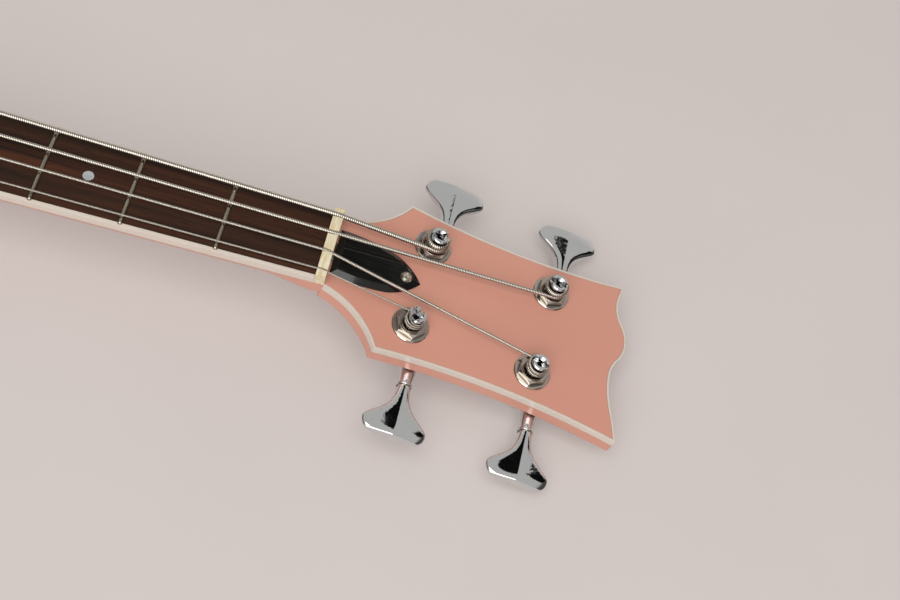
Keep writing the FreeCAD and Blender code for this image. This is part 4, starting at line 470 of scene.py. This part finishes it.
# Keys: cast wings on a round stem, with a ridge down the middle of each face and a flat end, chrome
# plated. Each rides with its worm shaft.
head_tilt = math.radians(10)
along_face = np.array([math.cos(head_tilt), 0, -math.sin(head_tilt)])
out_of_face = np.array([math.sin(head_tilt), 0, math.cos(head_tilt)])
stem_half, wing_half, ridge_rise, rim_rise, end_corner = 3.1, 16.2, 3.5, 1.7, 4.3
flare_end, flare_power, flare_even, end_ridge, ridge_flat = 0.78, 2.1, 0.22, 2.8, 0.4
rim_share, straight_fall, curved_fall = 0.6, 0.6, 0.4
stem_rim_power, wing_rim_power, rim_root = 4, 6, 0.36
flare_rows, end_rows, face_points, ridge_foot = 48, 16, 19, 0.006
end_closing = (1, 0.97, 0.9, 0.78)
face_slope = (ridge_rise - rim_rise) / (wing_half - rim_share * rim_rise)


def key_skin(letter):
    """Sections across the wings, stacked along the stem's axis.

    The half width grows from stem to wing, a little evenly and mostly as a squared sine. Each face is
    flat along a narrow ridge and falls from it along a shallow parabola, and a power of the width rounds
    the rim. The last sections close over the end."""
    joint = joints[f"key_{letter}_turn"]
    low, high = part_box(f"tuner_key_{letter}")
    side = 1 if joint["pos_m"][1] > 0 else -1
    foot, tip = (low.y / MM, high.y / MM) if side > 0 else (high.y / MM, low.y / MM)
    share = np.concatenate([
        np.linspace(0, flare_end, flare_rows, endpoint=False),
        flare_end + (1 - flare_end) * np.sin(np.linspace(0, 1, end_rows) * np.pi / 2),
    ])[:, None]
    flare = np.minimum(share / flare_end, 1)
    rounding = np.clip((share - flare_end) / (1 - flare_end), 0, 1)
    spread = flare_even * flare + (1 - flare_even) * np.sin(flare ** flare_power * np.pi / 2) ** 2
    half = stem_half + (wing_half - stem_half) * spread - end_corner * (1 - np.sqrt(1 - rounding ** 2))
    ridge = ridge_rise - (ridge_rise - end_ridge) * rounding ** 2
    closing = np.ones_like(share)
    closing[-len(end_closing):, 0] = end_closing
    half, ridge = half * closing, ridge * closing
    inner = ridge_flat / half
    quarter = np.append(np.cos(np.linspace(0, np.pi / 2, face_points))[:-1], [ridge_foot, 0])
    right = inner + (1 - inner) * quarter
    face = np.hstack([right, -right[:, ::-1]])
    wing = np.hstack([face, face[:, -2:0:-1]])
    facing = np.where(np.arange(wing.shape[1]) < face.shape[1], 1, -1)
    reach = half * np.abs(wing) - ridge_flat
    fall = ridge - face_slope * (straight_fall * reach + curved_fall * reach ** 2 / wing_half)
    rim_power = stem_rim_power + wing_rim_power * spread
    thick = facing * fall * np.maximum(1 - np.abs(wing) ** rim_power, 0) ** rim_root
    centre = np.array(joint["pos_m"]) / MM
    length = foot + (tip - foot) * share
    axis = np.stack([0 * length + centre[0], length, 0 * length + centre[2]], -1)
    return axis + (half * wing)[..., None] * along_face + thick[..., None] * out_of_face


for letter in letters:
    key = surface(f"key_{letter}", key_skin(letter), chrome, cap=True)
    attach(key, f"key_{letter}")
    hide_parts(f"tuner_key_{letter}")

# Key collars: a turned chrome ring pressed on the shaft's collar, between the barrel and the key.
# Its rounded edge leaves a thin dark line on either side.
collar_start, collar_length, collar_bore, collar_outer, collar_power = 45.45, 1.3, 3.4, 4.1, 0.5
collar_rows, collar_sides = 64, 24


def collar_ring(letter):
    """A rounded rectangle, a power of sine and cosine, swung round the key's axis."""
    centre = np.array(joints[f"key_{letter}_turn"]["pos_m"]) / MM
    side = 1 if centre[1] > 0 else -1
    swing = np.linspace(0, 2 * np.pi, collar_rows, endpoint=False)[:, None]
    turn = np.linspace(0, 2 * np.pi, collar_sides, endpoint=False)[None, :]
    out = np.sign(np.cos(turn)) * np.abs(np.cos(turn)) ** collar_power
    run = np.sign(np.sin(turn)) * np.abs(np.sin(turn)) ** collar_power
    radius = (collar_outer + collar_bore) / 2 + (collar_outer - collar_bore) / 2 * out
    length = side * (collar_start + collar_length / 2 * (1 + run))
    axis = np.stack([0 * length + centre[0], length, 0 * length + centre[2]], -1)
    across, up = (radius * np.cos(swing))[..., None], (radius * np.sin(swing))[..., None]
    return axis + across * along_face + up * out_of_face


for letter in letters:
    collar = surface(f"key_collar_{letter}", collar_ring(letter), chrome, wrap_rows=True)
    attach(collar, f"key_{letter}")

# Strings: a steel core closely wrapped with round nickel-plated wire, held by a ball at the bridge, bent
# over saddle and nut and wound on the post. The wrap is drawn about twice as coarse as it is, so that
# it shows.
wound, tree, shader = finish("nickel_wound_string", Metallic=1, Roughness=0.24)
wrap = node(tree, "UVMap", {}, uv_map="UVMap").outputs["UV"]
turns = node(tree, "SeparateXYZ", {"Vector": wrap})
slant = node(tree, "Math", {0: turns.outputs["X"], 1: turns.outputs["Y"]}, operation="ADD")
wave = node(tree, "Math", {0: slant.outputs["Value"], 1: 2 * math.pi}, operation="MULTIPLY")
coil = node(tree, "Math", {0: wave.outputs["Value"]}, operation="COSINE")
groove = node(tree, "MapRange", {"Value": coil.outputs["Value"], "From Min": -1, "From Max": 1})
# Painted shade and highlight: the grooves between wraps are coloured darker and the crests paler
tint = node(
    tree,
    "Mix",
    {0: groove.outputs["Result"], 6: linear("#7A736A"), 7: linear("#DCD5C9")},
    data_type="RGBA",
)
tree.links.new(tint.outputs[2], shader.inputs["Base Color"])
groove_depth_mm = 0.2
relief = node(
    tree,
    "Bump",
    {"Height": groove.outputs["Result"], "Strength": 0.4, "Distance": groove_depth_mm * MM},
)
tree.links.new(relief.outputs["Normal"], shader.inputs["Normal"])
# Each string's diameter, place across the neck, saddle's setback, turns on the post and slot's angle
string_facts = {
    "e": (2.54, 1.5, 5, 1.25, 18),
    "a": (2.03, 0.5, 4, 1.5, -4),
    "d": (1.52, -0.5, 3, 2, -18),
    "g": (1.02, -1.5, 2, 2.5, 56),
}
nut_spread, bridge_pitch, nut_action, saddle_action = 31.8, 19.0, 1.7, 5.2
bridge_rear, tail_height = -48.0, 55.0
post_waist, hexagon_top, clear, winding_gap, saddle_run, break_over = 3.7, 4.0, 0.3, 0.8, 9.0, 1.8
slot_floor, tucked_radius, tucked_share = 8.8, 2.6, 0.45
saddle_bend, nut_bend, tuck_bend = 3.0, 1.4, 1.6
turn_points, bend_points, string_sides, wrap_share, wrap_base = 48, 9, 16, 0.36, 0.1
tuck_points, core_from, core_past = 4, 20, 11


def string_line(letter):
    """The string's centre line in millimetres, from the ball to the post's slot.

    Straight runs, a small parabola at each bend, and a rising helix that goes on to the slot and turns
    into it, where the wrap ends and only the core goes on."""
    diameter, rank, setback, winds, slot = string_facts[letter]
    joint = joints[f"post_{letter}_turn"]
    post = np.array(joint["pos_m"]) / MM
    side = 1 if post[1] > 0 else -1

    def crossing(x, y, action):
        drop = crown_radius - math.sqrt(crown_radius ** 2 - y ** 2)
        return np.array([x, y, board_top + action - drop + diameter / 2])

    saddle = crossing(-setback, rank * bridge_pitch, saddle_action)
    nut = crossing(scale_length + break_over, rank * nut_spread / 3, nut_action)
    ahead = (nut - saddle) / np.linalg.norm(nut - saddle)
    behind = saddle - ahead * saddle_run
    tail = np.array([bridge_rear, rank * bridge_pitch, tail_height])
    radius = post_waist + clear + diameter / 2
    low = hexagon_top + clear + diameter / 2
    reach = np.array([(nut - post) @ along_face, nut[1] - post[1]])
    heading = math.atan2(-reach[1], -reach[0]) - side * math.asin(radius / np.hypot(*reach))
    first = heading - side * math.pi / 2
    winds += side * (math.radians(slot) - first - side * 2 * math.pi * winds) % math.pi / (2 * math.pi)
    turn = np.linspace(0, winds, int(winds * turn_points) + 1)

    def on_post(radius, angle, height):
        return (
            post
            + np.multiply.outer(radius * np.cos(angle), along_face)
            + np.multiply.outer(radius * np.sin(angle), [0, 1, 0])
            + np.multiply.outer(height, out_of_face)
        )

    helix = on_post(radius, first + side * 2 * math.pi * turn, low + (diameter + winding_gap) * turn)
    tucked = on_post(tucked_radius, first + side * 2 * math.pi * winds, slot_floor + diameter / 2)

    def bend(before, corner, after, tangent):
        start = corner + (before - corner) / np.linalg.norm(before - corner) * tangent
        end = corner + (after - corner) / np.linalg.norm(after - corner) * tangent
        t = np.linspace(0, 1, bend_points)[:, None]
        return (1 - t) ** 2 * start + 2 * t * (1 - t) * corner + t ** 2 * end

    return np.vstack([
        tail,
        bend(tail, behind, nut, saddle_bend),
        bend(behind, nut, helix[0], nut_bend),
        helix[:-tuck_points],
        bend(helix[-tuck_points], helix[-1], tucked, tuck_bend),
        tucked,
    ]), diameter


def tube(line, diameter, sides):
    """Rings of a tube round a line, each square to the line and of the diameter given there."""
    step = np.gradient(line, axis=0)
    heading = step / np.linalg.norm(step, axis=1, keepdims=True)
    across = np.cross(heading, out_of_face)
    across /= np.linalg.norm(across, axis=1, keepdims=True)
    over = np.cross(across, heading)
    turn = np.linspace(0, 2 * np.pi, sides, endpoint=False)[None, :, None]
    ring = np.cos(turn) * across[:, None, :] + np.sin(turn) * over[:, None, :]
    return line[:, None, :] + diameter[:, None, None] / 2 * ring


for letter in letters:
    line, diameter = string_line(letter)
    bounds = (len(line) - core_from, len(line) - core_past)
    thinning = np.interp(np.arange(len(line)), bounds, (1, tucked_share))
    rings = tube(line, diameter * thinning, string_sides)
    string = surface(f"wound_string_{letter}", rings, wound, cap=True)
    wrap_pitch = wrap_share * diameter + wrap_base
    travelled = np.concatenate([[0], np.cumsum(np.linalg.norm(np.diff(line, axis=0), axis=1))])
    uv_map = string.data.uv_layers["UVMap"].data
    uv = np.zeros(2 * len(uv_map))
    uv_map.foreach_get("uv", uv)
    uv = uv.reshape(-1, 2)
    uv[:, 0] = np.interp(uv[:, 0] * len(line), np.arange(len(line)), travelled) / wrap_pitch
    uv_map.foreach_set("uv", uv.ravel())
    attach(string, "instrument")
    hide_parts(f"string_{letter}")

# Ball ends: turned brass rollers that the string is looped through.
# Plain brass, a little tarnished.
brass, tree, shader = finish("plain_brass", Metallic=1, Roughness=0.3)
place = node(tree, "TexCoord", {}).outputs["Object"]
tarnish_mm = 2
tarnish = node(tree, "TexNoise", {"Vector": place, "Scale": repeats(tarnish_mm), "Detail": 3})
tint = node(
    tree, "Mix", {0: tarnish.outputs["Fac"], 6: linear("#8F7136"), 7: linear("#D2B067")}, data_type="RGBA"
)
tree.links.new(tint.outputs[2], shader.inputs["Base Color"])
dress(["ball_ends"], brass)

# Pickup coils: enamelled copper wire on a bobbin round bar magnets, inside the covers.
# The wire lies in fine even layers.
copper, tree, shader = finish("enamelled_copper", Metallic=1, Roughness=0.35)
place = node(tree, "TexCoord", {}).outputs["Object"]
layer_mm = (40, 40, 0.4)
layer_place = node(tree, "Mapping", {"Vector": place, "Scale": repeats(layer_mm)})
layer = node(tree, "TexNoise", {"Vector": layer_place.outputs["Vector"], "Scale": 1, "Detail": 1})
tint = node(
    tree, "Mix", {0: layer.outputs["Fac"], 6: linear("#6B2F18"), 7: linear("#B4623A")}, data_type="RGBA"
)
tree.links.new(tint.outputs[2], shader.inputs["Base Color"])
dress(["pickup_coils"], copper)

# Pots, leads and capacitor in the rear cavity: pressed aluminium cans, vinyl-covered wire and a dipped
# capacitor. They are under the rear cover.
can, tree, shader = finish("pressed_aluminium", Metallic=1, Roughness=0.38)
place = node(tree, "TexCoord", {}).outputs["Object"]
brushed_mm = (6, 0.3, 6)
brushed_place = node(tree, "Mapping", {"Vector": place, "Scale": repeats(brushed_mm)})
brushed = node(tree, "TexNoise", {"Vector": brushed_place.outputs["Vector"], "Scale": 1, "Detail": 2})
tint = node(
    tree, "Mix", {0: brushed.outputs["Fac"], 6: linear("#9A9A98"), 7: linear("#C9C9C6")}, data_type="RGBA"
)
tree.links.new(tint.outputs[2], shader.inputs["Base Color"])
dress(["pots"], can)
for names, name, dark, pale, grain_mm in (
    (["wiring"], "vinyl_covered_wire", "#C8C4B6", "#E4E1D6", 4),
    (["capacitor"], "dipped_resin", "#7E2A17", "#A83C22", 2),
):
    cover, tree, shader = finish(name, Roughness=0.4)
    place = node(tree, "TexCoord", {}).outputs["Object"]
    speck = node(tree, "TexNoise", {"Vector": place, "Scale": repeats(grain_mm), "Detail": 2})
    tint = node(
        tree, "Mix", {0: speck.outputs["Fac"], 6: linear(dark), 7: linear(pale)}, data_type="RGBA"
    )
    tree.links.new(tint.outputs[2], shader.inputs["Base Color"])
    dress(names, cover)

# Knobs: turned brass, knurled round the side, domed on top and chrome plated, each on its pot's shaft.
# The knurl gives the grip and breaks the mirror into bright lines.
body_top, skirt_radius, grip_radius, knob_top, knob_foot = 42.0, 9.8, 8.2, 15.6, 0.6
knurl_count, knurl_depth, knurl_points, profile_points = 48, 0.22, 6, 81
grip_low, grip_high, grip_fade = 4.4, 14.0, 0.4


def knob_skin(x, y):
    """A half profile swung round the shaft; a cosine of the angle cuts the knurl into the grip."""
    profile = np.array([
        [7.4, knob_foot], [9.5, knob_foot], [skirt_radius, knob_foot + 0.4], [skirt_radius, 2.8],
        [9.6, 3.1], [8.9, 3.9], [grip_radius + 0.3, 4.3], [grip_radius + 0.3, 4.6],
        [grip_radius + 0.1, 9.0], [grip_radius, 13.6], [grip_radius - 0.1, grip_high], [7.9, 14.5],
        [7.4, 14.9], [6.0, 15.2], [4.0, 15.45], [2.0, knob_top - 0.03], [0.05, knob_top],
    ])
    station = np.linspace(0, len(profile) - 1, profile_points)
    radius = np.interp(station, np.arange(len(profile)), profile[:, 0])[:, None]
    height = np.interp(station, np.arange(len(profile)), profile[:, 1])[:, None]
    turn = np.linspace(0, 2 * np.pi, knurl_count * knurl_points, endpoint=False)[None, :]
    rising = np.clip((height - grip_low) / grip_fade, 0, 1)
    grip = rising * np.clip((grip_high - height) / grip_fade, 0, 1)
    radius = radius - knurl_depth * grip * (0.5 + 0.5 * np.cos(knurl_count * turn))
    across, along, up = x + radius * np.cos(turn), y + radius * np.sin(turn), body_top + height + 0 * turn
    return np.stack([across, along, up], -1)


for name in ("neck_volume", "bridge_volume", "tone"):
    centre = joints[f"{name}_turn"]["pos_m"]
    knob = surface(f"{name}_grip", knob_skin(centre[0] / MM, centre[1] / MM), chrome, cap=True)
    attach(knob, f"{name}_knob")
    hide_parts(f"{name}_knob")

# Floor: a wide roll of pale matt paper under the instrument. Its faint fibre keeps it from looking like
# a flat fill, and wherever it is seen a share of its own colour glows, painted light that keeps the
# shadows pale.
paper, tree, shader = finish("matt_backdrop_paper", Roughness=0.9)
place = node(tree, "TexCoord", {}).outputs["Object"]
fibre_mm = 90
fibre = node(tree, "TexNoise", {"Vector": place, "Scale": repeats(fibre_mm), "Detail": 5})
tint = node(
    tree, "Mix", {0: fibre.outputs["Fac"], 6: linear("#CFC6C3"), 7: linear("#D4CBC7")}, data_type="RGBA"
)
tree.links.new(tint.outputs[2], shader.inputs["Base Color"])
shadow_fill = 0.3
ray = node(tree, "LightPath", {})
seen = node(
    tree, "Math", {0: ray.outputs["Is Camera Ray"], 1: ray.outputs["Is Glossy Ray"]}, operation="MAXIMUM"
)
seen = node(
    tree, "Math", {0: seen.outputs["Value"], 1: ray.outputs["Is Transmission Ray"]}, operation="MAXIMUM"
)
fill = node(tree, "Math", {0: seen.outputs["Value"], 1: shadow_fill}, operation="MULTIPLY")
glow = node(tree, "Emission", {"Color": tint.outputs[2]})
sheet = node(
    tree, "MixShader", {0: fill.outputs["Value"], 1: shader.outputs["BSDF"], 2: glow.outputs["Emission"]}
)
tree.links.new(sheet.outputs["Shader"], tree.nodes["Material Output"].inputs["Surface"])
floor_half, floor_drop = 5.0, 0.0005
floor_mesh = bpy.data.meshes.new("floor")
floor_mesh.from_pydata(
    [(i * floor_half, j * floor_half, -floor_drop) for i, j in ((-1, -1), (1, -1), (1, 1), (-1, 1))],
    [],
    [(0, 1, 2, 3)],
)
floor_mesh.materials.append(paper)
floor = bpy.data.objects.new("floor", floor_mesh)
scene.collection.objects.link(floor)

# Light: a pale room with darker side walls and two dark windows, which the chrome shows as grey edges
# and black patches, and a large soft box in front and overhead that keeps the shadows faint.
world = bpy.data.worlds.new("studio")
world.use_nodes = True
scene.world = world
tree = world.node_tree
direction = node(tree, "TexCoord", {}).outputs["Generated"]
parts = node(tree, "SeparateXYZ", {"Vector": direction})
rise = node(
    tree,
    "MapRange",
    {"Value": parts.outputs["Z"], "From Min": 0.2, "From Max": 0.6},
    interpolation_type="SMOOTHSTEP",
)
sky = node(
    tree, "Mix", {0: rise.outputs["Result"], 6: linear("#D2CCC9"), 7: linear("#BBBAB7")}, data_type="RGBA"
)
sideways = node(tree, "Math", {0: parts.outputs["X"]}, operation="ABSOLUTE")
wall = node(
    tree,
    "MapRange",
    {"Value": sideways.outputs["Value"], "From Min": 0.66, "From Max": 0.8},
    interpolation_type="SMOOTHSTEP",
)
sky = node(
    tree, "Mix", {0: wall.outputs["Result"], 6: sky.outputs[2], 7: linear("#4C4A48")}, data_type="RGBA"
)
ragged_share = 0.7
dark_windows = (((0.25, 0.41), (0.094, 0.186)), ((0.68, 0.43), (0.12, 0.12)))
ragged = node(tree, "TexNoise", {"Vector": direction, "Scale": 26, "Detail": 3})
for centre, half in dark_windows:
    window_place = node(
        tree,
        "Mapping",
        {
            "Vector": direction,
            "Location": (-centre[0] / half[0], -centre[1] / half[1], 0),
            "Scale": (1 / half[0], 1 / half[1], 0),
        },
    )
    window_reach = node(tree, "VectorMath", {0: window_place.outputs["Vector"]}, operation="LENGTH")
    edge = node(
        tree,
        "Math",
        {0: ragged.outputs["Fac"], 1: ragged_share, 2: window_reach.outputs["Value"]},
        operation="MULTIPLY_ADD",
    )
    outside = node(
        tree,
        "MapRange",
        {"Value": edge.outputs["Value"], "From Min": 1.28, "From Max": 1.36},
        interpolation_type="SMOOTHSTEP",
    )
    sky = node(
        tree,
        "Mix",
        {0: outside.outputs["Result"], 6: linear("#0E0E0F"), 7: sky.outputs[2]},
        data_type="RGBA",
    )
tree.links.new(sky.outputs[2], tree.nodes["Background"].inputs["Color"])
tree.nodes["Background"].inputs["Strength"].default_value = 1.0
soft_box = bpy.data.lights.new("soft_box", "AREA")
soft_box.shape = "RECTANGLE"
soft_box.size, soft_box.size_y = 2.0, 3.0
soft_box.energy = 52.0
lamp_place, lamp_aim = Vector((0.72, -1.35, 2.0)), Vector((0.93, 0.0, 0.04))
lamp = bpy.data.objects.new("soft_box", soft_box)
lamp.location = lamp_place
lamp.rotation_euler = (lamp_aim - lamp_place).to_track_quat("-Z", "Y").to_euler()
scene.collection.objects.link(lamp)

# Camera: above the near side of the headstock, turned a little, as the photograph was taken.
# Its place and angles were fitted to the fret ends, the nut and the headstock's outline.
camera_place, camera_lens, sensor = (0.88417, -0.45175, 0.74340), 69.2, 36
azimuth, elevation, roll = (math.radians(angle) for angle in (-5.680, 57.357, 20.633))
outward = math.cos(elevation)
back = Vector((math.sin(azimuth) * outward, -math.cos(azimuth) * outward, math.sin(elevation)))
level = Vector((0, 0, 1)).cross(back).normalized()
upright = back.cross(level)
right = math.cos(roll) * level + math.sin(roll) * upright
top = -math.sin(roll) * level + math.cos(roll) * upright
camera_data = bpy.data.cameras.new("camera")
camera_data.sensor_width = sensor
camera_data.lens = camera_lens
camera_data.clip_start = 0.01
camera = bpy.data.objects.new("camera", camera_data)
turned = Matrix((right, top, back)).transposed().to_4x4()
camera.matrix_world = Matrix.Translation(camera_place) @ turned
scene.collection.objects.link(camera)
scene.camera = camera
